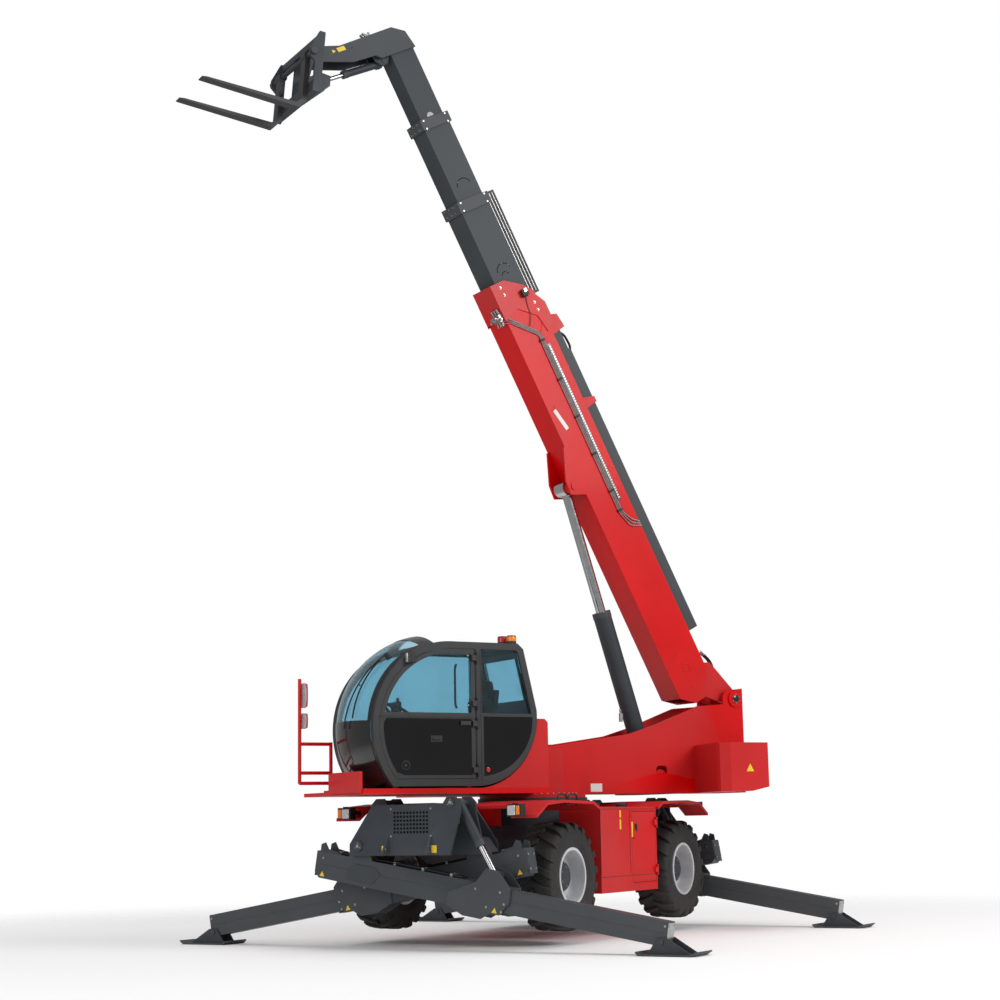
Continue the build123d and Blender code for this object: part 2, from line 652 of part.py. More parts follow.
# ---------------------------------------------------------------- turret
TOWER = [
    (-2910, TURRET_BOTTOM),
    (700, TURRET_BOTTOM),
    (700, 1820),
    (-110, 2150),
    (-1180, 2300),
    (-1600, 2420),
    (-1890, 2530),
    (-2220, 2650),
    (-2610, 2680),
    (-2610, 2780),
    (-2660, 2850),
    (-2910, 2880),
]
SIDE_OUTER_Y = SIDE_INNER_Y + SIDE_PLATE

with BuildPart() as turret_frame:
    for side in (-1, 1):
        side_plate(TOWER, sorted((side * SIDE_INNER_Y, side * SIDE_OUTER_Y)))
    with BuildSketch(Plane.XZ) as oval:
        with Locations((LIFT_FOOT_X, LIFT_FOOT_Z + 74)):
            SlotOverall(170, 110)
    extrude(oval.sketch, amount=2 * SIDE_OUTER_Y, both=True, mode=Mode.SUBTRACT)
    floor = (TURRET_BOTTOM, FLOOR_TOP)
    block((TOWER_REAR_X, 2790), (-SIDE_OUTER_Y, SIDE_OUTER_Y), floor)
    block((TOWER_REAR_X, TOWER_REAR_X + 25), (-SIDE_OUTER_Y, SIDE_OUTER_Y), (1600, 2200))
    block((560, 700), (-SIDE_OUTER_Y, SIDE_OUTER_Y), (1600, 1780))
    bar_z(0, 0, RING_RADIUS - 20, (RING_TOP + GAP, TURRET_BOTTOM + 1))
    bar_y(BOOM_PIVOT_X, BOOM_PIVOT_Z, BOOM_PIN, (-SIDE_OUTER_Y - 30, SIDE_OUTER_Y + 30))
    for side in (-1, 1):
        collar = sorted((side * SIDE_OUTER_Y, side * (SIDE_OUTER_Y + 22)))
        bar_y(BOOM_PIVOT_X, BOOM_PIVOT_Z, BOOM_PIN + 40, collar)
        boss = sorted((side * 130, side * SIDE_INNER_Y))
        bar_y(LIFT_FOOT_X, LIFT_FOOT_Z, 85, boss)
    # Platform of the cab with its mounts, and the deck of the right side
    block((520, 2790), (SIDE_INNER_Y, 1220), (TURRET_BOTTOM, PLATFORM_TOP))
    for x, y in ((1500, 330), (1500, 1150), (2380, 330), (2380, 1150)):
        bar_z(x, y, 35, (PLATFORM_TOP - 1, CAB_BOTTOM))
    block((-620, 1220), (-1110, -SIDE_INNER_Y), (TURRET_BOTTOM, FLOOR_TOP))
save(turret_frame, "turret_frame", TURRET)

with BuildPart() as counterweight:
    with BuildSketch(Plane.XY.offset(TURRET_BOTTOM - 20)) as plan:
        with BuildLine():
            Polyline((-2550, 1200), (-2000, 1200), (-1900, 1120), (-1900, 1060), (-2150, 290))
            Polyline((-2150, 290), (-2150, -290), (-1900, -1060), (-1900, -1120), (-2000, -1200))
            Line((-2000, -1200), (-2550, -1200))
            ThreePointArc((-2550, -1200), (-2980, 0), (-2550, 1200))
        make_face()
    extrude(plan.sketch, amount=COUNTERWEIGHT_TOP - TURRET_BOTTOM + 20, dir=(0, 0, 1))
    # Slot of the turret's tower and floor, and the underside rising to the rear
    tower_y = (-SIDE_OUTER_Y, SIDE_OUTER_Y)
    block((TOWER_REAR_X, -1800), tower_y, (1500, 2300), mode=Mode.SUBTRACT)
    under = [(-3100, 1500), (-1800, 1500), (-1800, 1602), (-2300, 1602), (-3100, 1760)]
    side_plate(under, (-1300, 1300), mode=Mode.SUBTRACT)
save(counterweight, "counterweight", TURRET)

with BuildPart() as cab_cowl:
    with BuildSketch(Plane.XZ.offset(-1220)) as cowl_outline:
        with BuildLine():
            Polyline((656, 2410), (560, 2410), (520, 2370), (520, PLATFORM_TOP), (1361, PLATFORM_TOP))
            ThreePointArc((1361, PLATFORM_TOP), (859, 1918), (656, 2410))
        make_face()
    extrude(cowl_outline.sketch, amount=920, dir=(0, -1, 0))
    # Hollow curved panel between the tower's side and the cowl
    with BuildSketch(Plane.XY.offset(TURRET_BOTTOM + 2)) as panel:
        with BuildLine():
            Polyline((520, 1055), (520, SIDE_OUTER_Y + 1), (-260, SIDE_OUTER_Y + 1))
            RadiusArc((-260, SIDE_OUTER_Y + 1), (520, 1055), -780)
        make_face()
    extrude(panel.sketch, amount=2120 - TURRET_BOTTOM)
    right_cowl = [
        (-600, FLOOR_TOP),
        (1200, FLOOR_TOP),
        (1200, 1900),
        (900, 2180),
        (-450, 2200),
        (-600, 2050),
    ]
    side_plate(right_cowl, (-1100, -290))
    # Bumper plate at the front of the platform
    block((2790, 2830), (450, 1200), (1620, 1840))
save(cab_cowl, "cab_cowl", TURRET)

with BuildPart() as guard_rail:
    tube = 19
    bar_z(3100, 300, tube, (1735, 2860))
    bar_z(2730, 300, tube, (PLATFORM_TOP, 2180))
    for z in (1740, 1850, 2160):
        bar_x(300, z, tube, (2730, 3100))
    block((3050, 3062), (228, 398), (2560, 2800))
    block((3050, 3062), (228, 398), (2330, 2480))
    for z in (2680, 2405):
        bar_x(300, z, 10, (3055, 3100))
save(guard_rail, "guard_rail", TURRET)


# ---------------------------------------------------------------- cab
def cab_profile():
    """Side view of the cab, as a face in (x, z)."""
    with BuildSketch(Plane.XZ) as profile:
        with BuildLine():
            Line((1420, CAB_BOTTOM), (SCREEN_X + 695, CAB_BOTTOM))
            ThreePointArc(
                (SCREEN_X + 695, CAB_BOTTOM),
                (SCREEN_X + SCREEN_RADIUS, SCREEN_Z),
                (SCREEN_X, CAB_ROOF),
            )
            Polyline((SCREEN_X, CAB_ROOF), (900, CAB_ROOF), (830, CAB_ROOF - 60), (672, SHOULDER_Z))
            curve_z = CAB_BOTTOM + (SHOULDER_Z - CAB_BOTTOM) * 0.302
            ThreePointArc((672, SHOULDER_Z), (870, curve_z), (1420, CAB_BOTTOM))
        make_face()
    return profile.sketch


def cab_slice(y, inset, x=(0, 4000), z=(0, 4000), mode=Mode.ADD):
    """Slab of the cab's profile drawn in by an inset, cut to a range of x and z."""
    with BuildSketch(Plane.XZ.offset(-y[1])) as cut:
        add(cab_profile().moved(Location((0, y[1], 0))))
        if inset:
            offset(amount=-inset, kind=Kind.INTERSECTION)
        with Locations(((x[0] + x[1]) / 2, (z[0] + z[1]) / 2)):
            Rectangle(x[1] - x[0], z[1] - z[0], mode=Mode.INTERSECT)
    extrude(cut.sketch, amount=y[1] - y[0], dir=(0, -1, 0), mode=mode)


def sector(y, radii, angles, mode=Mode.ADD):
    """Slab between two radii and two angles about the windscreen's axis."""
    with BuildSketch(Plane.XZ.offset(-y[1])) as cut:
        with BuildLine():
            first, last = [radians(a) for a in angles]
            middle = (first + last) / 2
            point = [
                [(SCREEN_X + r * cos(a), SCREEN_Z + r * sin(a)) for a in (first, middle, last)]
                for r in radii
            ]
            ThreePointArc(*point[0])
            Line(point[0][2], point[1][2])
            ThreePointArc(*reversed(point[1]))
            Line(point[1][0], point[0][0])
        make_face()
    extrude(cut.sketch, amount=y[1] - y[0], dir=(0, -1, 0), mode=mode)


INSIDE = (CAB_RIGHT + CAB_SIDE, CAB_LEFT - CAB_SIDE)
SCREEN_ANGLES = (-38.0, 80.0)
REAR_WINDOW = ((INSIDE[0] + 60, INSIDE[1] - 60), (CAB_ROOF - 610, CAB_ROOF - 150))
BEACONS = [(985, 1050), (945, 1182)]

with BuildPart() as cab_shell:
    cab_slice((CAB_RIGHT, CAB_LEFT), 0)
    cab_slice(INSIDE, CAB_WALL, mode=Mode.SUBTRACT)
    sector(INSIDE, (800, 1100), SCREEN_ANGLES, mode=Mode.SUBTRACT)
    left = (CAB_LEFT - CAB_SIDE, CAB_LEFT)
    right = (CAB_RIGHT, CAB_RIGHT + CAB_SIDE)
    cab_slice(left, CAB_FRAME, x=(POST_FRONT, 4000), mode=Mode.SUBTRACT)
    cab_slice(left, CAB_FRAME, x=(0, POST_REAR), z=(BELT_Z, 4000), mode=Mode.SUBTRACT)
    cab_slice(right, CAB_FRAME, z=(SILL_Z, 4000), mode=Mode.SUBTRACT)
    block((600, 960), REAR_WINDOW[0], REAR_WINDOW[1], mode=Mode.SUBTRACT)
    hinges((HINGE_X, HINGE_Y), CAB_LEFT, HINGE_LEVELS, True)
    # Bases of the two beacons
    for x, y in BEACONS:
        bar_z(x, y, 54, (CAB_ROOF - 1, CAB_ROOF + 28))
save(cab_shell, "cab_shell", TURRET)

PANE = 0.5  # gap between a pane and its frame
with BuildPart() as cab_glass:
    with BuildSketch(Plane.XY) as pane_section:
        with BuildLine():
            rim_y = (INSIDE[0] + PANE, INSIDE[1] - PANE)
            middle_y = (rim_y[0] + rim_y[1]) / 2
            ThreePointArc(
                (SCREEN_EDGE + 10, rim_y[0]), (SCREEN_CROWN, middle_y), (SCREEN_EDGE + 10, rim_y[1])
            )
            Line((SCREEN_EDGE + 10, rim_y[1]), (SCREEN_EDGE + 10 - GLASS, rim_y[1]))
            ThreePointArc(
                (SCREEN_EDGE + 10 - GLASS, rim_y[1]),
                (SCREEN_CROWN - GLASS, middle_y),
                (SCREEN_EDGE + 10 - GLASS, rim_y[0]),
            )
            Line((SCREEN_EDGE + 10 - GLASS, rim_y[0]), (SCREEN_EDGE + 10, rim_y[0]))
        make_face()
    lowest, highest = SCREEN_ANGLES
    screen = revolve(pane_section.sketch, axis=Axis.Y, revolution_arc=highest - lowest, mode=Mode.PRIVATE)
    # Turned from its own start angle up to the windscreen's lower edge
    start = Location((SCREEN_X, 0, SCREEN_Z), (0, -lowest - (highest - lowest), 0))
    add(screen.moved(start))
    inset = CAB_FRAME + PANE
    outer_y = (CAB_LEFT - 40, CAB_LEFT - 40 + GLASS)
    cab_slice(outer_y, inset, x=(0, POST_REAR - PANE), z=(BELT_Z + PANE, 4000))
    outer_y = (CAB_RIGHT + 20, CAB_RIGHT + 20 + GLASS)
    cab_slice(outer_y, inset, z=(SILL_Z + PANE, 4000))
    rear_y = (REAR_WINDOW[0][0] + PANE, REAR_WINDOW[0][1] - PANE)
    rear_z = (REAR_WINDOW[1][0] + PANE, REAR_WINDOW[1][1] - PANE)
    slant = 158.0 / (CAB_ROOF - 60 - SHOULDER_Z)  # of the cab's rear wall
    lean = [(690 + (z - SHOULDER_Z) * slant, z) for z in rear_z]
    side_plate(lean + [(x + GLASS, z) for x, z in reversed(lean)], rear_y)
    for x, y in BEACONS:
        bar_z(x, y, 51, (CAB_ROOF + 28 + GAP, CAB_ROOF + 92))
save(cab_glass, "cab_glass", TURRET)

LEAF = (CAB_LEFT - 55, CAB_LEFT - 5)
LEAF_X = (POST_FRONT + DOOR_GAP, 4000)
LEAF_INSET = CAB_FRAME + DOOR_GAP
PANE_INSET = LEAF_INSET + 50
PANE_X = (LEAF_X[0] + 50, 4000)
PANE_Z = (BELT_Z, 4000)

with BuildPart() as cab_door:
    cab_slice(LEAF, LEAF_INSET, x=LEAF_X)
    cab_slice(LEAF, PANE_INSET, x=PANE_X, z=PANE_Z, mode=Mode.SUBTRACT)
    block((1520, 1640), (LEAF[1] - 1, LEAF[1] + 30), (2330, 2370))
    hinges((HINGE_X, HINGE_Y), CAB_LEFT, HINGE_LEVELS, False)
save(cab_door, "cab_door", TURRET)

with BuildPart() as door_glass:
    pane_y = (LEAF[0] + 20, LEAF[0] + 20 + GLASS)
    cab_slice(pane_y, PANE_INSET + PANE, x=(PANE_X[0] + PANE, 4000), z=(PANE_Z[0] + PANE, 4000))
save(door_glass, "door_glass", TURRET)

with BuildPart() as operator_seat:
    floor_z = CAB_BOTTOM + CAB_WALL
    block((1450, 1600), (560, 920), (floor_z, 1900))
    block((1060, 1640), (500, 980), (1900, 2040))
    side_plate([(1060, 2040), (1180, 2040), (1050, 2760), (950, 2760)], (520, 960))
    block((1450, 1700), (400, 490), (floor_z, 2180))
    block((2150, 2330), (560, 920), (floor_z, 2250))
    side_plate([(2150, 2250), (2330, 2250), (2150, 2480), (2080, 2420)], (600, 880))
    column = Location((2105, 740, 2465), (0, -35, 0))
    with Locations(column):
        Torus(185, 16)
        Cylinder(185, 14)
        Cylinder(24, 110)
save(operator_seat, "operator_seat", TURRET)


# ---------------------------------------------------------------- boom
# Tubes of the boom: half width, bottom, top, rear end, front end
SECTIONS = [
    ("base_section", 200, -685, -140, 200, BASE_END),
    ("second_section", 175, -605, -178, 1350, 6950),
    ("third_section", 150, -580, -198, 2420, 8020),
    ("fourth_section", 125, -555, -218, 3250, 8870),
]
CHAIN_BOTTOM = -128.0
CHAIN_TOP = 30.0
COLLARS = {"second_section": 140, "third_section": 130}
PADS = {"base_section": (5540, 5680), "second_section": (6790, 6940), "third_section": (7860, 8010)}

for index, (name, half, bottom, top, rear, front) in enumerate(SECTIONS):
    with BuildPart() as section:
        block((rear, front), (-half, half), (bottom, top))
        wall = SECTION_WALL
        back = 60 if name == "base_section" else 0
        block(
            (rear + back, front),
            (-half + wall, half - wall),
            (bottom + wall, top - wall),
            mode=Mode.SUBTRACT,
        )
        if name in COLLARS:
            # Collar round the mouth
            collar = (front - COLLARS[name], front)
            for side in (-1, 1):
                block(collar, sorted((side * (half - 1), side * (half + 22))), (bottom - 22, top + 22))
            block(collar, (-half - 22, half + 22), (top - 1, top + 22))
            block(collar, (-half - 22, half + 22), (bottom - 22, bottom + 1))
        if name in PADS:
            # Wear pads that the next section runs on
            inner_half, inner_bottom, inner_top = SECTIONS[index + 1][1:4]
            slack = (
                half - wall - inner_half,
                top - wall - inner_top,
                inner_bottom - bottom - wall,
            )
            pads(PADS[name], inner_half, (inner_bottom, inner_top), slack, GAP, True)
        if index:
            outer_half, outer_bottom, outer_top = SECTIONS[index - 1][1:4]
            slack = (outer_half - wall - half, outer_top - wall - top, bottom - outer_bottom - wall)
            pads((rear, rear + 120), half, (bottom, top), slack, GAP, False)
        if name == "base_section":
            # Sloped rear corner and front edge, with doubler plates round the mouth
            corner = [(100, -500), (200, -500), (351, -685), (351, -760), (100, -760)]
            side_plate(corner, (-300, 300), mode=Mode.SUBTRACT)
            mouth = [(5950, -493), (5880, -493), (5736, -253), (5600, -120), (5600, 0), (5950, 0)]
            side_plate(mouth, (-300, 300), mode=Mode.SUBTRACT)
            block((5450, 5880), (-half - 12, half + 12), (bottom - 22, bottom + 1))
            for side in (-1, 1):
                y = sorted((side * (half - 1), side * (half + 12)))
                doubler = [
                    (5420, bottom - 22),
                    (5880, bottom - 22),
                    (5880, -493),
                    (5736, -253),
                    (5445, -65),
                    (5200, -65),
                    (5100, -200),
                    (5330, -250),
                    (5500, -480),
                ]
                side_plate(doubler, y)
                # Guide of the hose chain, and the ear that holds the hose carrier
                y = sorted((side * 128, side * 150))
                side_plate([(5030, top - 1), (5070, 90), (5250, 60), (5310, top - 1)], y)
                side_plate([(4040, top - 1), (4070, 62), (4140, 62), (4190, top - 1)], y)
                # Pivot lug and cylinder lug
                y = sorted((side * (half - 60), side * half))
                side_plate([(-95, 0), (200, -330), (580, -330), (580, top), (540, -60), (60, 95)], y)
                bar_y(0, 0, 105, y)
                y = sorted((side * (half - 30), side * half))
                lug = [
                    (LUG_PIN_U - 160, bottom + 1),
                    (LUG_PIN_U - 75, LUG_PIN_W - 82),
                    (LUG_PIN_U + 105, LUG_PIN_W - 68),
                    (LUG_PIN_U + 470, bottom - 20),
                    (LUG_PIN_U + 470, bottom + 1),
                ]
                side_plate(lug, y)
                bar_y(LUG_PIN_U, LUG_PIN_W, 70, sorted((side * LUG_SPACER_Y, side * (half - 29))))
                bar_y(LUG_PIN_U, LUG_PIN_W, LIFT_PIN - 4, sorted((side * half, side * (half + 14))))
            bar_y(0, 0, BOOM_PIN + PLAY, (-half - 5, half + 5), mode=Mode.SUBTRACT)
            bar_y(LUG_PIN_U, LUG_PIN_W, LIFT_PIN, (-half + 1, half - 1))
        if name == "second_section":
            # Hose chain over its top, carried by a bracket on the collar
            block((5590, front - 1), (-60, 60), (CHAIN_BOTTOM, CHAIN_TOP))
            block((front - COLLARS[name], front - 1), (-80, 80), (top, CHAIN_BOTTOM + 5))
        if name == "fourth_section":
            # Gooseneck head of two side plates with a spine between them
            neck = [
                (8870, -195),
                (9083, -240),
                (9179, -403),
                (9168, -1178),
                (9223, -1386),
                (9240, -1494),
                (9153, -1580),
                (9070, -1520),
                (8936, -1094),
                (8921, -763),
                (8870, -703),
            ]
            for side in (-1, 1):
                y = sorted((side * (HEAD_HALF_WIDTH - 25), side * HEAD_HALF_WIDTH))
                side_plate(neck, y)
                ear = [(8800, -620), (8800, -700), (8872, -770), (8960, -770), (8960, -560), (8868, -560)]
                side_plate(ear, sorted((side * 62, side * 88)))
            spine = [
                (8870, -196),
                (9082, -241),
                (9178, -404),
                (9167, -1178),
                (9222, -1386),
                (9150, -1386),
                (9110, -1100),
                (9110, -780),
                (8960, -720),
                (8960, -597),
                (8870, -597),
            ]
            side_plate(spine, (-HEAD_HALF_WIDTH + 20, HEAD_HALF_WIDTH - 20))
            bar_y(TILT_RAM_U, TILT_RAM_W, 45, (-88, -62))
            bar_y(TILT_RAM_U, TILT_RAM_W, 45, (62, 88))
            bar_y(TILT_RAM_U, TILT_RAM_W, TILT_PIN, (-96, 96))
            # Bore of the tilt pivot, in the boom's frame
            turn = radians(BOOM_ANGLE)
            dx = CARRIAGE_X - BOOM_PIVOT_X
            dz = CARRIAGE_Z - BOOM_PIVOT_Z
            pivot = (dx * cos(turn) + dz * sin(turn), dz * cos(turn) - dx * sin(turn))
            bar_y(*pivot, CARRIAGE_PIN + PLAY, (-160, 160), mode=Mode.SUBTRACT)
    save(section, name, BOOM)

# Covered carrier of the hoses on the base section, open in front where the hose chain runs
with BuildPart() as hose_carrier:
    base_top = SECTIONS[0][3]
    block((1000, 4800), (-127, 127), (base_top, 50))
    for side in (-1, 1):
        block((4799, 5240), sorted((side * 95, side * 127)), (base_top, 20))
save(hose_carrier, "hose_carrier", BOOM)

# Lift cylinder, from its foot in the turret to its pin under the boom
turn = radians(BOOM_ANGLE)
LIFT_EYE_X = BOOM_PIVOT_X + LUG_PIN_U * cos(turn) - LUG_PIN_W * sin(turn)
LIFT_EYE_Z = BOOM_PIVOT_Z + LUG_PIN_U * sin(turn) + LUG_PIN_W * cos(turn)
LIFT_LENGTH = sqrt((LIFT_EYE_X - LIFT_FOOT_X) ** 2 + (LIFT_EYE_Z - LIFT_FOOT_Z) ** 2)
lift_barrel, lift_rod = cylinder_pair(
    LIFT_BARREL,
    LIFT_ROD,
    LIFT_BARREL_LENGTH,
    LIFT_ROD_START,
    LIFT_LENGTH,
    LIFT_EYE,
    100,
    (LIFT_PIN, LIFT_PIN + PLAY),
)
towards = (LIFT_EYE_X - LIFT_FOOT_X, 0, LIFT_EYE_Z - LIFT_FOOT_Z)
lift_frame = TURRET * Plane((LIFT_FOOT_X, 0, LIFT_FOOT_Z), towards, (0, -1, 0)).location
save(lift_barrel, "lift_barrel", lift_frame)
save(lift_rod, "lift_rod", lift_frame)

# Fork carriage
with BuildPart() as carriage:
    half = CARRIAGE_HALF_WIDTH
    post = [
        (105, 75),
        (175, 75),
        (275, -150),
        (275, -240),
        (205, -300),
        (FORK_BACK_X - 0.5, -660),
        (105, -660),
    ]
    for side in (-1, 1):
        side_plate(post, sorted((side * (half - 35), side * half)))
        # Middle uprights with the lugs of the tilt pivot and of the cylinder's eye
        upright = [
            (-40, 40),
            (40, 55),
            (150, 20),
            (150, -640),
            (110, -640),
            (110, -420),
            (60, -120),
            (-50, -40),
        ]
        side_plate(upright, sorted((side * (HEAD_HALF_WIDTH + 6), side * (HEAD_HALF_WIDTH + 36))))
        lug = [
            (TILT_EYE_X - 60, TILT_EYE_Z + 50),
            (TILT_EYE_X + 60, TILT_EYE_Z + 60),
            (150, -330),
            (150, -600),
            (60, -590),
            (TILT_EYE_X - 60, TILT_EYE_Z - 75),
        ]
        side_plate(lug, sorted((side * 62, side * 84)))
        bar_y(TILT_EYE_X, TILT_EYE_Z, TILT_PIN, sorted((side * 50, side * 84)))
        end = sorted((side * half, side * (half + 30)))
        bar_y(SHAFT_X, SHAFT_Z, SHAFT_RADIUS + 14, end)
    block((110, FORK_BACK_X - 0.5), (-half + 5, half - 5), (-650, -520))
    block((110, 165), (-half + 5, half - 5), (-20, 60))
    block((110, 150), (-HEAD_HALF_WIDTH - 30, HEAD_HALF_WIDTH + 30), (-645, -330))
    bar_y(SHAFT_X, SHAFT_Z, SHAFT_RADIUS, (-half - 30, half + 30))
    bar_y(0, 0, CARRIAGE_PIN, (-HEAD_HALF_WIDTH - 50, HEAD_HALF_WIDTH + 50))
save(carriage, "carriage", CARRIAGE)

with BuildPart() as forks:
    for side in (-1, 1):
        y = (side * FORK_Y - FORK_WIDTH / 2, side * FORK_Y + FORK_WIDTH / 2)
        blade = [
            (FORK_BACK_X, SHAFT_Z),
            (FORK_BACK_X, FORK_BOTTOM + 103),
            (FORK_BACK_X + 86, FORK_BOTTOM),
            (FORK_TIP_X - 14, FORK_BOTTOM + 34),
            (FORK_TIP_X, FORK_TOP - 10),
            (FORK_TIP_X - 60, FORK_TOP),
            (FORK_FRONT_X + 60, FORK_TOP),
            (FORK_FRONT_X, FORK_TOP + 60),
            (FORK_FRONT_X, SHAFT_Z),
        ]
        side_plate(blade, y)
        bar_y(SHAFT_X, SHAFT_Z, 50, y)
        bar_y(SHAFT_X, SHAFT_Z, SHAFT_RADIUS + PLAY, (y[0] - 1, y[1] + 1), mode=Mode.SUBTRACT)
save(forks, "forks", CARRIAGE)

# Tilt cylinder, from its pin on the boom's head to its eye on the carriage
tip = radians(FORK_ANGLE)
TILT_RAM_X = BOOM_PIVOT_X + TILT_RAM_U * cos(turn) - TILT_RAM_W * sin(turn)
TILT_RAM_Z = BOOM_PIVOT_Z + TILT_RAM_U * sin(turn) + TILT_RAM_W * cos(turn)
EYE_X = CARRIAGE_X + TILT_EYE_X * cos(tip) - TILT_EYE_Z * sin(tip)
EYE_Z = CARRIAGE_Z + TILT_EYE_X * sin(tip) + TILT_EYE_Z * cos(tip)
TILT_LENGTH = sqrt((EYE_X - TILT_RAM_X) ** 2 + (EYE_Z - TILT_RAM_Z) ** 2)
tilt_barrel, tilt_rod = cylinder_pair(
    TILT_BARREL,
    TILT_ROD,
    TILT_BARREL_LENGTH,
    TILT_ROD_START,
    TILT_LENGTH,
    42,
    40,
    (TILT_PIN + PLAY, TILT_PIN),
)
towards = (EYE_X - TILT_RAM_X, 0, EYE_Z - TILT_RAM_Z)
tilt_frame = TURRET * Plane((TILT_RAM_X, 0, TILT_RAM_Z), towards, (0, -1, 0)).location
save(tilt_barrel, "tilt_barrel", tilt_frame)
save(tilt_rod, "tilt_rod", tilt_frame)
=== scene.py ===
"""Looks of the rotating telehandler: materials, trim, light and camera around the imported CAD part."""
import json
from functools import partial
from math import copysign, cos, exp, pi, radians, sin, sqrt

import bmesh
import bpy
from mathutils import Matrix, Vector


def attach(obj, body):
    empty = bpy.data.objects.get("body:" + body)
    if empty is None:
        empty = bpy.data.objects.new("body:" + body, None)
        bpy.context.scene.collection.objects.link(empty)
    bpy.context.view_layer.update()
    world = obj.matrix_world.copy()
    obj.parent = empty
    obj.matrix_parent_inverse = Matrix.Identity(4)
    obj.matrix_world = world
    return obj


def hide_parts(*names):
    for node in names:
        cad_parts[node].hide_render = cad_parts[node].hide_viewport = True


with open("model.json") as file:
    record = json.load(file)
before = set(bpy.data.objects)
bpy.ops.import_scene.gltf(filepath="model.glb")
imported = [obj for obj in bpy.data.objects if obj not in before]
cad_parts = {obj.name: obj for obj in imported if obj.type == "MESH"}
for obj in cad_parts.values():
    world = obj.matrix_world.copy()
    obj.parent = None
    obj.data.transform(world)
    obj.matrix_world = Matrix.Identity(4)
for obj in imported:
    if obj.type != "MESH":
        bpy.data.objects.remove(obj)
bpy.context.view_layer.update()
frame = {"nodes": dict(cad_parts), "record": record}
NODES = frame["nodes"]
SCENE = bpy.context.scene

# ---------- frames of the bodies, in metres
SLEW = Vector((-0.562, 0, 0))
SLEW_ANGLE = radians(-30.0)
PIVOT_X, PIVOT_Z = -2.79, 2.75  # the boom's pivot on the turret
BOOM_ANGLE = radians(62.2)
CARRIER = Matrix.Translation(SLEW)
REAR = CARRIER @ Matrix.Rotation(pi, 4, "Z")
TURRET = CARRIER @ Matrix.Rotation(SLEW_ANGLE, 4, "Z")
BOOM = TURRET @ Matrix.Translation((PIVOT_X, 0, PIVOT_Z)) @ Matrix.Rotation(-BOOM_ANGLE, 4, "Y")

X, Y, Z = (1, 0, 0), (0, 1, 0), (0, 0, 1)
SIDES = ((1, "left"), (-1, "right"))

# ---------- materials
DUST_COLOR = (0.30, 0.26, 0.22)
WEAR_COLOR = (0.12, 0.12, 0.12)
GLASS_IOR = 1.45
COAT_ROUGHNESS = 0.08
GLOSS_SPREAD = 0.06  # how far the roughness strays to either side
BUMP_DEPTH = 0.001


def put(node, **values):
    """Sets a node's inputs, each by its name with _ for a space."""
    for name, value in values.items():
        node.inputs[name.replace("_", " ")].default_value = value


class Surface:
    """Node tree of one material, with the few kinds of node that all of them share."""

    def __init__(self, name):
        self.material = bpy.data.materials.new(name)
        self.material.use_nodes = True
        self.tree = self.material.node_tree
        self.shader = self.tree.nodes["Principled BSDF"]
        self.where = self.node("TexCoord").outputs["Object"]

    def node(self, kind, **values):
        made = self.tree.nodes.new("ShaderNode" + kind)
        put(made, **values)
        return made

    def link(self, output, made, name):
        self.tree.links.new(output, made.inputs[name])

    def noise(self, scale, detail):
        made = self.node("TexNoise", Scale=scale, Detail=detail)
        self.link(self.where, made, "Vector")
        return made.outputs["Fac"]

    def mapped(self, value, **limits):
        made = self.node("MapRange", **limits)
        self.link(value, made, "Value")
        return made.outputs["Result"]

    def product(self, first, second):
        """First output times a second one, or times a number."""
        made = self.node("Math")
        made.operation = "MULTIPLY"
        self.link(first, made, 0)
        if isinstance(second, float):
            made.inputs[1].default_value = second
        else:
            self.link(second, made, 1)
        return made.outputs["Value"]

    def covered(self, under, color, share):
        """Colour laid over another one by a share."""
        made = self.node("MixRGB", Color2=(*color, 1))
        self.link(share, made, "Fac")
        self.link(under, made, "Color1")
        return made.outputs["Color"]

    def dusty(self, under, dust, top):
        """Dust that is thicker low down and broken up by noise."""
        parts = self.node("SeparateXYZ")
        self.link(self.where, parts, "Vector")
        height = self.mapped(parts.outputs["Z"], From_Min=top, From_Max=0.0)
        amount = self.product(height, self.noise(9.0, 8.0))
        return self.covered(under, DUST_COLOR, self.product(amount, dust))

    def worn(self, under, wear, fine):
        """Scuffed paint on outer edges."""
        edges = self.node("NewGeometry").outputs["Pointiness"]
        share = self.mapped(edges, From_Min=0.53, From_Max=0.60, To_Max=wear)
        return self.covered(under, WEAR_COLOR, self.product(share, fine))


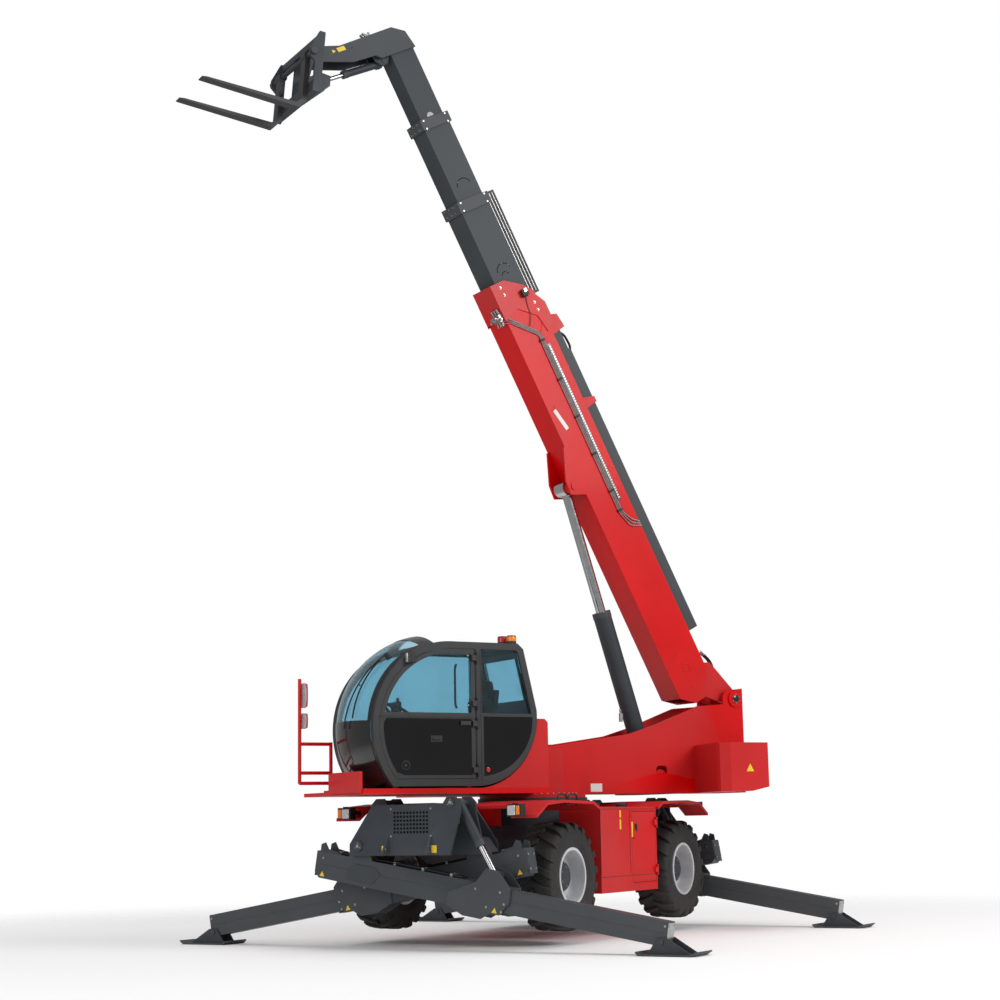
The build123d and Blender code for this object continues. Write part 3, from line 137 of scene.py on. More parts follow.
def material(name, color, rough, metallic=0.0, coat=0.0, variation=0.06, scale=3.0, bump=0.1,
             bump_scale=220.0, dust=0.0, dust_top=0.9, wear=0.0, transmission=0.0, specular=None):
    """Painted, plastic, rubber or metal surface with uneven colour, gloss, fine bump, dust and wear."""
    surface = Surface(name)
    shader = surface.shader
    put(shader, Metallic=metallic)
    if specular is not None:
        put(shader, Specular_IOR_Level=specular)
    if coat:
        put(shader, Coat_Weight=coat, Coat_Roughness=COAT_ROUGHNESS)
    if transmission:
        put(shader, Transmission_Weight=transmission, IOR=GLASS_IOR)

    large = surface.noise(scale, 5.0)
    fine = surface.noise(bump_scale, 3.0)
    shades = surface.node("ValToRGB")
    for element, place, change in zip(shades.color_ramp.elements, (0.35, 0.65), (-variation, variation)):
        element.position = place
        element.color = (*(min(1.0, max(0.0, c * (1 + change))) for c in color), 1)
    surface.link(large, shades, "Fac")
    result = shades.outputs["Color"]
    if dust:
        result = surface.dusty(result, dust, dust_top)
    if wear:
        result = surface.worn(result, wear, fine)
    surface.link(result, shader, "Base Color")
    low, high = max(0.0, rough - GLOSS_SPREAD), min(1.0, rough + GLOSS_SPREAD)
    surface.link(surface.mapped(large, To_Min=low, To_Max=high), shader, "Roughness")
    relief = surface.node("Bump", Strength=bump, Distance=BUMP_DEPTH)
    surface.link(fine, relief, "Height")
    surface.link(relief.outputs["Normal"], shader, "Normal")
    return surface.material


RED = material("red_paint", (0.62, 0.001, 0.002), 0.36, coat=0.06, variation=0.05, scale=1.5,
               dust=0.06, dust_top=1.2, wear=0.3, specular=0.2)
DARK = material("dark_paint", (0.042, 0.050, 0.058), 0.44, variation=0.10, scale=2.0,
                dust=0.08, dust_top=0.8, wear=0.5, specular=0.22)
BLACK = material("black_gloss", (0.010, 0.010, 0.011), 0.16, coat=0.6, variation=0.2, scale=2.0, bump=0.04)
GLOSS = material("black_panel", (0.004, 0.004, 0.005), 0.06, variation=0.2, scale=2.0, bump=0.02)
FRAME_GREY = material("cab_frame_grey", (0.024, 0.025, 0.027), 0.48, variation=0.12, scale=4.0,
                      bump=0.3, bump_scale=420)
PLASTIC = material("black_plastic", (0.018, 0.018, 0.020), 0.55, variation=0.15, scale=8.0,
                   bump=0.5, bump_scale=500)
CHROME = material("chrome", (0.62, 0.63, 0.64), 0.14, metallic=1.0, variation=0.05, scale=20, bump=0.05)
STEEL = material("zinc_steel", (0.42, 0.42, 0.41), 0.35, metallic=0.9, variation=0.12, scale=30, bump=0.2)
SILVER = material("silver_rim", (0.66, 0.67, 0.69), 0.34, metallic=0.3, coat=0.2, variation=0.08,
                  scale=6, dust=0.14, dust_top=1.2)
RUBBER = material("tyre_rubber", (0.014, 0.014, 0.014), 0.72, variation=0.3, scale=14,
                  bump=0.6, bump_scale=160, dust=0.12, dust_top=1.3)
HOSE = material("hose_rubber", (0.012, 0.012, 0.012), 0.5, variation=0.2, scale=20, bump=0.4, bump_scale=300)
FORKS = material("fork_steel", (0.014, 0.014, 0.016), 0.45, variation=0.2, scale=5, wear=0.3,
                 bump=0.25, bump_scale=90)
GLASS = material("tinted_glass", (0.36, 0.60, 0.70), 0.03, transmission=1.0, variation=0.02, bump=0.0)
RIBBED = {"coat": 0.5, "variation": 0.1, "scale": 60, "bump": 0.4, "bump_scale": 300}
AMBER = material("amber_lens", (0.85, 0.22, 0.01), 0.12, **RIBBED)
RED_LENS = material("red_lens", (0.55, 0.01, 0.01), 0.12, **RIBBED)
LENS = material("lamp_lens", (0.75, 0.77, 0.80), 0.08, metallic=0.6, coat=0.6, variation=0.15,
                scale=50, bump=0.5, bump_scale=200)
SEAT = material("seat_fabric", (0.025, 0.025, 0.028), 0.85, variation=0.25, scale=60,
                bump=0.7, bump_scale=700)
LABEL = material("blank_label", (0.72, 0.72, 0.70), 0.4, variation=0.04, scale=10)
MIRROR = material("mirror_grey", (0.36, 0.37, 0.38), 0.3, variation=0.08, scale=12)
YELLOW = material("yellow_label", (0.80, 0.55, 0.02), 0.4, variation=0.06, scale=20)

PAINT = {
    "red_paint": RED, "dark_paint": DARK, "black_paint": BLACK, "chrome_rod": CHROME,
    "silver_rim": SILVER, "tyre_rubber": RUBBER, "tinted_glass": GLASS, "black_plastic": PLASTIC,
    "fork_steel": FORKS,
}
MATT_NODES = ("cab_shell", "cab_door")
# Slot of a piece by its paint, unless the piece names another one
SLOTS = {
    RED: "red_paint", YELLOW: "red_paint", AMBER: "red_paint", RED_LENS: "red_paint",
    DARK: "dark_paint", BLACK: "black_paint", GLOSS: "black_paint", RUBBER: "tyre_rubber",
    STEEL: "chrome_rod", LENS: "chrome_rod", LABEL: "silver_rim",
    PLASTIC: "black_plastic", HOSE: "black_plastic", MIRROR: "black_plastic", SEAT: "black_plastic",
}
for part in frame["record"]["subparts"]:
    node = NODES[part["node"]]
    node.data.materials.clear()
    matt = part["node"] in MATT_NODES
    node.data.materials.append(FRAME_GREY if matt else PAINT[part["material_slot"]])


# ---------- mesh tools
BEVEL_ANGLE = radians(32)
SHARP_ANGLE = radians(35)


class Piece:
    """One mesh in a body's frame, in metres. Its object is made when its with block ends."""

    def __init__(self, name, paint, body, where, bevel=0.0, slot=None):
        self.name, self.paint, self.body, self.where = name, paint, body, where
        self.bevel = bevel
        self.slot = slot or SLOTS[paint]
        self.bm = bmesh.new()

    def __enter__(self):
        return self

    def __exit__(self, kind, error, trace):
        if kind is None:
            self.obj = self.made()

    def solid(self, points, faces):
        verts = [self.bm.verts.new(p) for p in points]
        for face in faces:
            self.bm.faces.new([verts[i] for i in face])

    def box(self, x, y, z):
        corners = [(a, b, c) for a in x for b in y for c in z]
        ends = [(0, 1, 3, 2), (4, 6, 7, 5)]
        self.solid(corners, ends + [(0, 4, 5, 1), (2, 3, 7, 6), (0, 2, 6, 4), (1, 5, 7, 3)])

    def prism(self, outline, ends, axis="y"):
        """Outline of (x, z) points drawn out across, or of (y, z) points drawn out along x."""
        n = len(outline)
        points = [(a, end, b) if axis == "y" else (end, a, b) for end in ends for a, b in outline]
        faces = [tuple(range(n)), tuple(range(2 * n - 1, n - 1, -1))]
        faces += [(i, i + n, (i + 1) % n + n, (i + 1) % n) for i in range(n)]
        self.solid(points, faces)

    def ring(self, middle, across, third, radius, steps):
        return [self.bm.verts.new(middle + (across * cos(t) + third * sin(t)) * radius)
                for t in circle(steps)]

    def lathe(self, profile, center, axis, steps=32, closed=False):
        """Profile of (along, radius) turned about an axis through center."""
        axis = Vector(axis).normalized()
        across = axis.orthogonal().normalized()
        third = axis.cross(across)
        rings = []
        for along, radius in profile:
            middle = Vector(center) + axis * along
            if radius:
                rings.append(self.ring(middle, across, third, radius, steps))
            else:
                rings.append([self.bm.verts.new(middle)])
        pairs = list(zip(rings, rings[1:]))
        if closed:
            pairs.append((rings[-1], rings[0]))
        for a, b in pairs:
            for i in range(steps):
                j = (i + 1) % steps
                # A ring of one point, on the axis, leaves triangles
                corners = (a[i % len(a)], a[j % len(a)], b[j % len(b)], b[i % len(b)])
                face = list(dict.fromkeys(corners))
                if len(face) > 2:
                    self.bm.faces.new(face)

    def tube(self, rings):
        """Skin between rings, open at both ends."""
        for a, b in zip(rings, rings[1:]):
            for i in range(len(a)):
                j = (i + 1) % len(a)
                self.bm.faces.new((a[i], a[j], b[j], b[i]))

    def rod(self, a, b, radius):
        a, b = Vector(a), Vector(b)
        length = (b - a).length
        chamfer = min(radius * 0.25, length * 0.2)
        half = [(0, 0), (0, radius - chamfer), (chamfer, radius)]
        other = [(length - chamfer, radius), (length, radius - chamfer), (length, 0)]
        self.lathe(half + other, a, b - a, 16)

    def pipe(self, points, radius, bend=0.0, steps=8):
        """Round pipe along corner points, with rounded corners."""
        points = [Vector(p) for p in points]
        path = [points[0]]
        for before, corner, after in zip(points, points[1:], points[2:]):
            into, out = (corner - before), (after - corner)
            r = min(bend, into.length * 0.45, out.length * 0.45)
            a, b = corner - into.normalized() * r, corner + out.normalized() * r
            for i in range(7):
                t = i / 6
                path.append(a * (1 - t) ** 2 + corner * 2 * t * (1 - t) + b * t * t)
        path.append(points[-1])
        last = len(path) - 1
        tangents = [(path[min(i + 1, last)] - path[max(i - 1, 0)]).normalized() for i in range(len(path))]
        across = tangents[0].orthogonal().normalized()
        rings = []
        for middle, along in zip(path, tangents):
            across = (across - along * across.dot(along)).normalized()
            rings.append(self.ring(middle, across, along.cross(across), radius, steps))
        self.tube(rings)
        self.bm.faces.new(list(reversed(rings[0])))
        self.bm.faces.new(rings[-1])

    def bolt(self, place, axis, size, height):
        """Hexagon head on a washer."""
        washer, wide = height * 0.25, size * 1.25
        head = [(washer, size), (height, size * 0.92), (height, 0)]
        self.lathe([(0, 0), (0, wide), (washer, wide)] + head, place, axis, 6)

    def made(self):
        bmesh.ops.recalc_face_normals(self.bm, faces=self.bm.faces)
        mesh = bpy.data.meshes.new(self.name)
        self.bm.to_mesh(mesh)
        self.bm.free()
        mesh.transform(self.where)
        if self.where.determinant() < 0:
            mesh.flip_normals()
        mesh.materials.append(self.paint)
        obj = bpy.data.objects.new(self.name, mesh)
        SCENE.collection.objects.link(obj)
        if self.bevel:
            edge = obj.modifiers.new("bevel", "BEVEL")
            edge.width = self.bevel
            edge.segments = 2
            edge.limit_method = "ANGLE"
            edge.angle_limit = BEVEL_ANGLE
            edge.use_clamp_overlap = True
        for face in mesh.polygons:
            face.use_smooth = True
        mesh.set_sharp_from_angle(angle=SHARP_ANGLE)
        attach(obj, self.body)
        return obj


on_carrier = partial(Piece, body="carrier", where=CARRIER)
on_turret = partial(Piece, body="turret", where=TURRET)
on_door = partial(Piece, body="cab_door", where=TURRET)
on_boom = partial(Piece, body="boom_base", where=BOOM)
on_head = partial(Piece, body="boom_fourth", where=BOOM)


def circle(count, start=0.0):
    """Angles of equal steps round a circle, the first one moved on by a share of a step."""
    return [2 * pi * (k + start) / count for k in range(count)]


def polar(center, radius, angle):
    return center[0] + radius * cos(angle), center[1] + radius * sin(angle)


def arc(center, radius, start, end, y, steps=14):
    """Points of an arc in a body's x-z plane, at a place across it; angles in degrees."""
    points = []
    for k in range(steps + 1):
        x, z = polar(center, radius, radians(start + (end - start) * k / steps))
        points.append((x, y, z))
    return points


def span(side, near, far):
    """Two places across the machine on one side, the lower one first."""
    return sorted((side * near, side * far))


def triangle(shape, at, size, y):
    """Thin three-cornered plate in the x-z plane, between two places across."""
    shape.prism([polar(at, size, radians(90 + 120 * k)) for k in range(3)], y)


# ---------- wheels
HALF_WHEELBASE, HALF_TRACK, WHEEL_Z = 1.42, 1.0575, 0.71
HUB = (0, 0, 0)
TREAD_BARS = 19
TREAD_RADIUS = 0.55
BAR_FLARE = 0.010  # how much wider a bar's foot is on each side
BAR_ROOT = 0.030  # how deep a bar's foot sinks into the sidewall
TYRE_HALF = [
    # across, radius, from the bead over the shoulder to the middle of the tread
    (0.1875, 0.2885), (0.1875, 0.300), (0.1960, 0.330), (0.2060, 0.352), (0.2060, 0.358),
    (0.2140, 0.366), (0.2195, 0.400), (0.2200, 0.440), (0.2150, 0.480), (0.2020, 0.515),
    (0.1750, 0.534), (0.1200, 0.541), (0.0600, 0.543), (0.0, 0.5435),
]
BAR_TREAD = [
    # across, sweep, inner radius, outer radius, half width at the top
    (-0.012, 0.000, 0.530, 0.5735, 0.026),
    (0.060, 0.075, 0.530, 0.5735, 0.029),
    (0.130, 0.135, 0.528, 0.5725, 0.033),
    (0.185, 0.175, 0.515, 0.5650, 0.037),
]
BAR_SIDEWALL = [
    (0.2135, 0.192, 0.500, 0.5480, 0.038),
    (0.2215, 0.200, 0.470, 0.5100, 0.036),
    (0.2200, 0.203, 0.455, 0.4720, 0.030),
]


def lug(shape, turn, side):
    """One slanting tread bar, from the middle of the tread over the shoulder and down the sidewall."""
    rings = []
    for stations, sunk in ((BAR_TREAD, 0.0), (BAR_SIDEWALL, BAR_ROOT)):
        for across, sweep, low, high, half in stations:
            foot, top = (low, side * (across - sunk)), (high, side * across)
            wide = half + BAR_FLARE
            ring = []
            for offset, (radius, y) in ((-wide, foot), (-half, top), (half, top), (wide, foot)):
                angle = turn + sweep + offset / TREAD_RADIUS
                ring.append(shape.bm.verts.new((radius * sin(angle), y, radius * cos(angle))))
            rings.append(ring)
    shape.tube(rings)
    shape.bm.faces.new(rings[0])
    shape.bm.faces.new(list(reversed(rings[-1])))


def tyre(name, where):
    with Piece(name + "_treaded_tyre", RUBBER, name + "_wheel", where, bevel=0.004) as shape:
        profile = TYRE_HALF + [(-a, r) for a, r in reversed(TYRE_HALF[:-1])]
        shape.lathe(profile, HUB, Y, 96, closed=True)
        for i in range(TREAD_BARS):
            lug(shape, 2 * pi * i / TREAD_BARS, 1)
            lug(shape, 2 * pi * (i + 0.5) / TREAD_BARS, -1)
    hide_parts(name + "_tyre")


def wheel_centre(name, where):
    with Piece(name + "_hub_cover", DARK, name + "_wheel", where, bevel=0.003) as hub:
        hub.lathe([(0.012, 0.215), (0.022, 0.205), (0.030, 0.160), (0.085, 0.150), (0.105, 0.125),
                   (0.118, 0.075), (0.120, 0.0)], HUB, Y, 40)
    with Piece(name + "_wheel_nuts", STEEL, name + "_wheel", where, slot="silver_rim") as nuts:
        for t in circle(10):
            nuts.bolt((0.182 * cos(t), 0.020, 0.182 * sin(t)), Y, 0.017, 0.030)
        for t in circle(6, 0.5):
            nuts.bolt((0.098 * cos(t), 0.108, 0.098 * sin(t)), Y, 0.009, 0.014)


for end, row in ((1, "front_"), (-1, "rear_")):
    for side, label in SIDES:
        place = Matrix.Translation((end * HALF_WHEELBASE, side * HALF_TRACK, WHEEL_Z))
        facing = Matrix.Rotation(0 if side == 1 else pi, 4, "Z")
        tyre(row + label, CARRIER @ place @ facing)
        wheel_centre(row + label, CARRIER @ place @ facing)


# ---------- operator's place
CAB_FLOOR = 1.740
SCREEN_X, SCREEN_Z = 1.750, 2.300  # axis of the windscreen
CAB_MID = 0.740
RECLINE = radians(-83)
COLUMN_TILT = radians(35)
PAD_STEPS = 28
PAD_POWER = 5.0  # roundness of a pad's corners
PAD_CROWN = 0.012


def pad_point(q, half, channels):
    """Place on a pad for a point of a cube from -1 to 1: rounded, crowned, with seams sunk into its top."""
    norm = sum(abs(t) ** PAD_POWER for t in q) ** (1 / PAD_POWER)
    q = q / norm
    x, y, z = q.x * half[0], q.y * half[1], q.z * half[2]
    y *= 1 - 0.05 * (1 - q.x ** 2)
    x *= 1 - 0.04 * (1 - q.y ** 2)
    if q.z > 0:
        z += PAD_CROWN * (1 - q.x ** 2) * (1 - q.y ** 2)
        for channel in channels:
            z -= PAD_CROWN * exp(-((q.x - channel) / 0.035) ** 2)
        z -= 0.010 * exp(-((abs(q.y) - 0.62) / 0.04) ** 2)
    return x, y, z


def cushion(name, middle, half, tilt=0.0, channels=()):
    """Crowned pad with rounded sides; channels are seams across it, as shares of its length."""
    grid = {}
    place = TURRET @ Matrix.Translation(middle) @ Matrix.Rotation(tilt, 4, "Y")
    with Piece(name, SEAT, "turret", place) as shape:
        for axis in range(3):
            for end in (0, PAD_STEPS):
                for i in range(PAD_STEPS):
                    for j in range(PAD_STEPS):
                        loop = []
                        for di, dj in ((0, 0), (1, 0), (1, 1), (0, 1)):
                            key = [0, 0, 0]
                            key[axis] = end
                            key[(axis + 1) % 3] = i + di
                            key[(axis + 2) % 3] = j + dj
                            key = tuple(key)
                            if key not in grid:
                                q = Vector([2 * t / PAD_STEPS - 1 for t in key])
                                grid[key] = shape.bm.verts.new(pad_point(q, half, channels))
                            loop.append(grid[key])
                        shape.bm.faces.new(loop)


def seat():
    with on_turret("seat_base", PLASTIC, bevel=0.012) as base:
        base.box((1.18, 1.52), (0.56, 0.92), (CAB_FLOOR, 1.80))
        base.box((1.24, 1.46), (0.62, 0.86), (1.80, 1.90))
        base.box((1.10, 1.62), (0.51, 0.97), (1.90, 1.935))
        base.prism([(1.062, 1.935), (1.10, 1.935), (1.035, 2.74), (0.96, 2.74)], (0.55, 0.93))
    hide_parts("operator_seat")
    cushion("seat_cushion", (1.37, CAB_MID, 1.985), (0.265, 0.235, 0.062), 0.0, (0.0, 0.45))
    cushion("seat_back", (1.085, CAB_MID, 2.36), (0.33, 0.225, 0.055), RECLINE, (-0.4, 0.0, 0.4))
    cushion("head_rest", (1.04, CAB_MID, 2.76), (0.085, 0.14, 0.045), RECLINE, ())


def consoles():
    with on_turret("arm_consoles", PLASTIC, bevel=0.014) as console:
        for y in ((0.40, 0.485), (0.985, 1.06)):
            console.box((1.18, 1.66), y, (CAB_FLOOR + 0.24, 2.16))
            console.box((1.30, 1.50), y, (CAB_FLOOR, CAB_FLOOR + 0.25))
    knob = [(0, 0.012), (0.02, 0.022), (0.07, 0.024), (0.09, 0.014), (0.095, 0)]
    with on_turret("control_levers", PLASTIC) as levers:
        for y in (0.443, 1.022):
            levers.rod((1.58, y, 2.15), (1.60, y, 2.27), 0.009)
            levers.lathe(knob, (1.598, y, 2.25), (0.15, 0, 1), 16)


def dashboard():
    with on_turret("dashboard", PLASTIC, bevel=0.012) as dash:
        hood = [(2.33, 2.20), (2.26, 2.42), (2.13, 2.44), (2.12, 2.30)]
        dash.prism([(2.15, CAB_FLOOR), (2.33, CAB_FLOOR)] + hood, (0.60, 0.88))
        dash.box((2.02, 2.10), (0.305, 0.37), (2.20, 2.46))
        dash.box((2.00, 2.03), (0.35, 0.57), (2.45, 2.62))
    middle = Vector((2.105, CAB_MID, 2.465))
    column = Vector((-sin(COLUMN_TILT), 0, cos(COLUMN_TILT)))
    rim = [(0.017 * sin(t), 0.185 + 0.017 * cos(t)) for t in circle(12)]
    boss = [(-0.14, 0.02), (-0.02, 0.02), (-0.02, 0.05), (0.02, 0.045), (0.026, 0)]
    with on_turret("steering_wheel", PLASTIC) as wheel:
        wheel.lathe(rim, middle, column, 48, closed=True)
        wheel.lathe(boss, middle, column, 24)
        for t in circle(3):
            flat = cos(t)
            spoke = Vector((flat * cos(COLUMN_TILT), sin(t), flat * sin(COLUMN_TILT)))
            wheel.rod(middle + spoke * 0.03, middle + spoke * 0.18, 0.011)
    flask = [(0, 0), (0, 0.035), (0.02, 0.042), (0.24, 0.042), (0.28, 0.02), (0.31, 0.015), (0.31, 0)]
    with on_turret("fire_bottle", RED) as bottle:
        bottle.lathe(flask, (1.95, 0.375, 2.36), Z, 24)
        bottle.box((1.98, 2.04), (0.355, 0.395), (2.42, 2.46))


seat()
consoles()
dashboard()


# ---------- windscreen trim
SCREEN_SIDES = (0.315, 1.165)
SCREEN_BOTTOM, SCREEN_TOP = 4.5, 70  # degrees about the windscreen's axis
WIPER_TURN, WIPER_Y = 50, 1.02


def screen_radius(y):
    """Distance of the windscreen's outer face from its axis, at a place across the cab."""
    return 0.0991 + sqrt(0.9309 ** 2 - (y - CAB_MID) ** 2)


def on_screen(angle, y, out=0.0):
    x, z = polar((SCREEN_X, SCREEN_Z), screen_radius(y) + out, radians(angle))
    return Vector((x, y, z))


def screen_panel(name, angles, ys, out, columns=24):
    """Curved panel on the windscreen, 4 mm thick."""
    rows = 24
    with on_turret(name, BLACK) as shape:
        layers = []
        for depth in (out, out - 0.004):
            grid = []
            for i in range(rows + 1):
                angle = angles[0] + (angles[1] - angles[0]) * i / rows
                places = [ys[0] + (ys[1] - ys[0]) * j / columns for j in range(columns + 1)]
                grid.append([shape.bm.verts.new(on_screen(angle, y, depth)) for y in places])
            layers.append(grid)
        for grid in layers:
            for i in range(rows):
                for j in range(columns):
                    shape.bm.faces.new((grid[i][j], grid[i + 1][j], grid[i + 1][j + 1], grid[i][j + 1]))
        top, under = layers
        for i in range(rows):
            for j in (0, columns):
                shape.bm.faces.new((top[i][j], top[i + 1][j], under[i + 1][j], under[i][j]))
        for j in range(columns):
            for i in (0, rows):
                shape.bm.faces.new((top[i][j], top[i][j + 1], under[i][j + 1], under[i][j]))


def windscreen():
    screen_panel("nose_panel", (-37.6, SCREEN_BOTTOM), SCREEN_SIDES, 0.006)
    screen_panel("screen_header", (SCREEN_TOP, 79.6), SCREEN_SIDES, 0.005)
    screen_panel("screen_edge_left", (SCREEN_BOTTOM, SCREEN_TOP), (1.130, 1.166), 0.004, 3)
    screen_panel("screen_edge_right", (SCREEN_BOTTOM, SCREEN_TOP), (0.314, 0.350), 0.004, 3)
    with on_turret("windscreen_wiper", PLASTIC) as wiper:
        arm = [on_screen(a, WIPER_Y - 0.004 * (WIPER_TURN - a), 0.045) for a in range(WIPER_TURN, -1, -5)]
        wiper.pipe(arm, 0.008, bend=0.03)
        blade = [on_screen(a, 0.93 + 0.001 * a, 0.022) for a in range(46, 5, -4)]
        wiper.pipe(blade, 0.009, bend=0.03)
        foot = on_screen(WIPER_TURN, WIPER_Y)
        axis = foot - Vector((SCREEN_X, WIPER_Y, SCREEN_Z))
        wiper.lathe([(-0.02, 0.03), (0.045, 0.03), (0.055, 0.02), (0.055, 0)], foot, axis, 20)
        wiper.rod(on_screen(26, 0.93, 0.022), on_screen(26, 0.94, 0.05), 0.008)


# ---------- cab trim
SIDE_FACE = (1.2396, 1.2418)  # gloss panels, inside their matt frames


def beacons():
    lens = [(0, 0.0525), (0.045, 0.0535), (0.060, 0.046), (0.067, 0.030), (0.0685, 0)]
    for x, y, paint, name in ((0.985, 1.050, RED_LENS, "red_beacon"), (0.945, 1.182, AMBER, "amber_beacon")):
        with on_turret(name, paint) as beacon:
            beacon.lathe(lens, (x, y, 3.2582), Z)


def hinge_bolts():
    with on_turret("hinge_bolts", STEEL) as bolts:
        for z in (1.853, 2.348, 2.566, 3.058):
            for dx in (0.055, 0.105):
                for dz in (0.022, -0.022):
                    bolts.bolt((1.425 + dx, 1.2345, z + dz), Y, 0.008, 0.006)


def cab_lamp():
    with on_turret("cab_work_lamp", PLASTIC, bevel=0.008) as lamp:
        lamp.box((2.195, 2.255), (1.236, 1.300), (2.985, 3.085))
        lamp.box((2.250, 2.290), (1.236, 1.304), (2.975, 3.095))
    with on_turret("cab_lamp_lens", LENS, bevel=0.004) as lamp:
        lamp.box((2.286, 2.296), (1.246, 1.294), (2.986, 3.084))


def gloss_panels():
    with on_door("door_panel", GLOSS, bevel=0.0008) as panel:
        curve = [polar((SCREEN_X, SCREEN_Z), 0.80, radians(t)) for t in range(4, -40, -4)]
        panel.prism([(1.50, 2.395), (2.52, 2.395)] + curve + [(2.30, 1.80), (1.50, 1.80)], SIDE_FACE)
    with on_turret("rear_quarter_panel", GLOSS, bevel=0.0008) as panel:
        turns = [radians(t) for t in range(0, 85, 6)]
        curve = [(1.42 - 0.69 * cos(t), 2.40 - 0.62 * sin(t)) for t in turns]
        panel.prism([(1.348, 2.425), (0.73, 2.425)] + curve, SIDE_FACE)


def side_fittings():
    with on_turret("door_vent", PLASTIC) as vent:
        rim = [(0, 0.050), (0.008, 0.050), (0.010, 0.044), (0.004, 0.036)]
        vent.lathe(rim + [(0.004, 0.020), (0.008, 0.016), (0.008, 0)], (2.30, 1.2352, 1.90), Y, 28)
    with on_turret("side_reflector", RED_LENS) as reflector:
        disc = [(0, 0.024), (0.006, 0.024), (0.008, 0.018), (0.008, 0)]
        reflector.lathe(disc, (1.30, 1.2412, 1.853), Y, 20)
    with on_door("door_handle", PLASTIC, bevel=0.004) as handle:
        handle.box((1.86, 2.00), (1.2355, 1.2470), (2.145, 2.215))
        handle.box((1.88, 1.98), (1.2455, 1.2620), (2.168, 2.192))
    with on_turret("post_seams", PLASTIC) as seam:
        for x in ((1.372, 1.381), (1.424, 1.4325)):
            seam.box(x, (1.2402, 1.2432), (1.74, 3.15))
    with on_door("door_rail", PLASTIC) as rail:
        rail.box((1.48, 2.62), (1.2352, 1.2400), (2.405, 2.418))
    with on_door("grab_bar", PLASTIC) as grab:
        ends = [(1.62, 1.13, 2.52), (1.62, 1.10, 2.56), (1.62, 1.10, 2.95), (1.62, 1.13, 2.99)]
        grab.pipe(ends, 0.012, bend=0.06, steps=12)


def rounded(t):
    """Cosine or sine made squarer, for the outline of a mirror."""
    return copysign(abs(t) ** 0.6, t)


def mirrors():
    with on_turret("mirror_heads", MIRROR, bevel=0.010) as heads:
        for low, high in ((2.545, 2.815), (2.320, 2.490)):
            middle, half = (low + high) / 2, (high - low) / 2
            outline = [(0.313 + 0.085 * rounded(cos(t)), middle + half * rounded(sin(t)))
                       for t in circle(32)]
            heads.prism(outline, (3.040, 3.076), "x")


windscreen()
beacons()
hinge_bolts()
cab_lamp()
gloss_panels()
side_fittings()
mirrors()

# ---------- stabilisers
SLOPE = radians(9.6)
BEAM_PIVOT_Y, BEAM_PIVOT_Z = 0.606, 1.068
BEAM_FACE, CHEEK_FACE, LEG_FACE = 0.0995, 0.112, 0.0795
PIVOT_PLATE = [(-0.14, -0.28), (-0.06, -0.195), (0.20, -0.195), (0.28, -0.26), (0.19, -0.37), (-0.12, -0.37)]
TAIL_EAR = [(-0.52, -0.145), (-0.25, -0.145), (-0.30, -0.11), (-0.42, -0.10), (-0.47, -0.035), (-0.52, -0.06)]


def beam(name, where):
    body = name + "_beam"
    with Piece(body + "_trim", DARK, body, where, bevel=0.0025) as trim:
        for face in (-1, 1):
            trim.box((-0.50, 1.28), span(face, BEAM_FACE, 0.1025), (-0.273, -0.267))
            trim.prism(PIVOT_PLATE, span(face, BEAM_FACE, 0.1065))
            trim.prism(TAIL_EAR, span(face, 0.085, 0.098))
        trim.box((-0.566, -0.558), (-0.085, 0.085), (-0.40, -0.15))
    with Piece(body + "_bolts", STEEL, body, where) as bolts:
        for face in (-1, 1):
            for u, w in ((1.45, -0.20), (1.60, -0.36), (1.74, -0.19), (1.80, -0.30), (1.78, -0.38)):
                bolts.bolt((u, face * CHEEK_FACE, w), (0, face, 0), 0.011, 0.008)
            bolts.bolt((-0.47, face * BEAM_FACE, -0.20), (0, face, 0), 0.011, 0.008)
        for w in (-0.20, -0.35):
            for y in (-0.055, 0.055):
                bolts.bolt((-0.565, y, w), (-1, 0, 0), 0.012, 0.009)
    with Piece(body + "_marks", YELLOW, body, where) as marks:
        triangle(marks, (1.70, -0.385), 0.036, (0.1118, 0.1134))
        triangle(marks, (-0.46, -0.375), 0.036, (0.0996, 0.1012))
    with Piece(body + "_hoses", HOSE, body, where) as hoses:
        for y, lift in ((-0.055, 0.0), (-0.020, 0.004), (0.015, 0.0), (0.05, 0.003)):
            route = [(-0.44, y, -0.122), (0.10, y, -0.120 + lift), (0.55, y + 0.01, -0.117 + lift),
                     (1.00, y, -0.121), (1.24, y, -0.124)]
            hoses.pipe(route, 0.011, bend=0.15)
    with Piece(name + "_hose_clips", STEEL, body, where, bevel=0.003) as clips:
        for u in (-0.30, 0.05, 0.40, 0.75, 1.10):
            clips.box((u, u + 0.03), (-0.072, 0.066), (-0.136, -0.104))
            clips.bolt((u + 0.015, -0.003, -0.105), Z, 0.008, 0.006)


def leg(name, where):
    body = name + "_leg"
    with Piece(body + "_seam", DARK, body, where, bevel=0.001) as seam:
        for face in (-1, 1):
            seam.box((1.22, 3.58), span(face, LEG_FACE, 0.0820), (-0.270, -0.265))
    with Piece(body + "_end", STEEL, body, where, bevel=0.002, slot="dark_paint") as cap:
        cap.box((3.600, 3.607), (-0.074, 0.074), (-0.385, -0.165))
        for w in (-0.19, -0.36):
            for y in (-0.055, 0.055):
                cap.bolt((3.606, y, w), X, 0.009, 0.007)
    with Piece(body + "_bolts", STEEL, body, where) as bolts:
        for face in (-1, 1):
            bolts.bolt((3.572, face * 0.0797, -0.20), (0, face, 0), 0.011, 0.008)


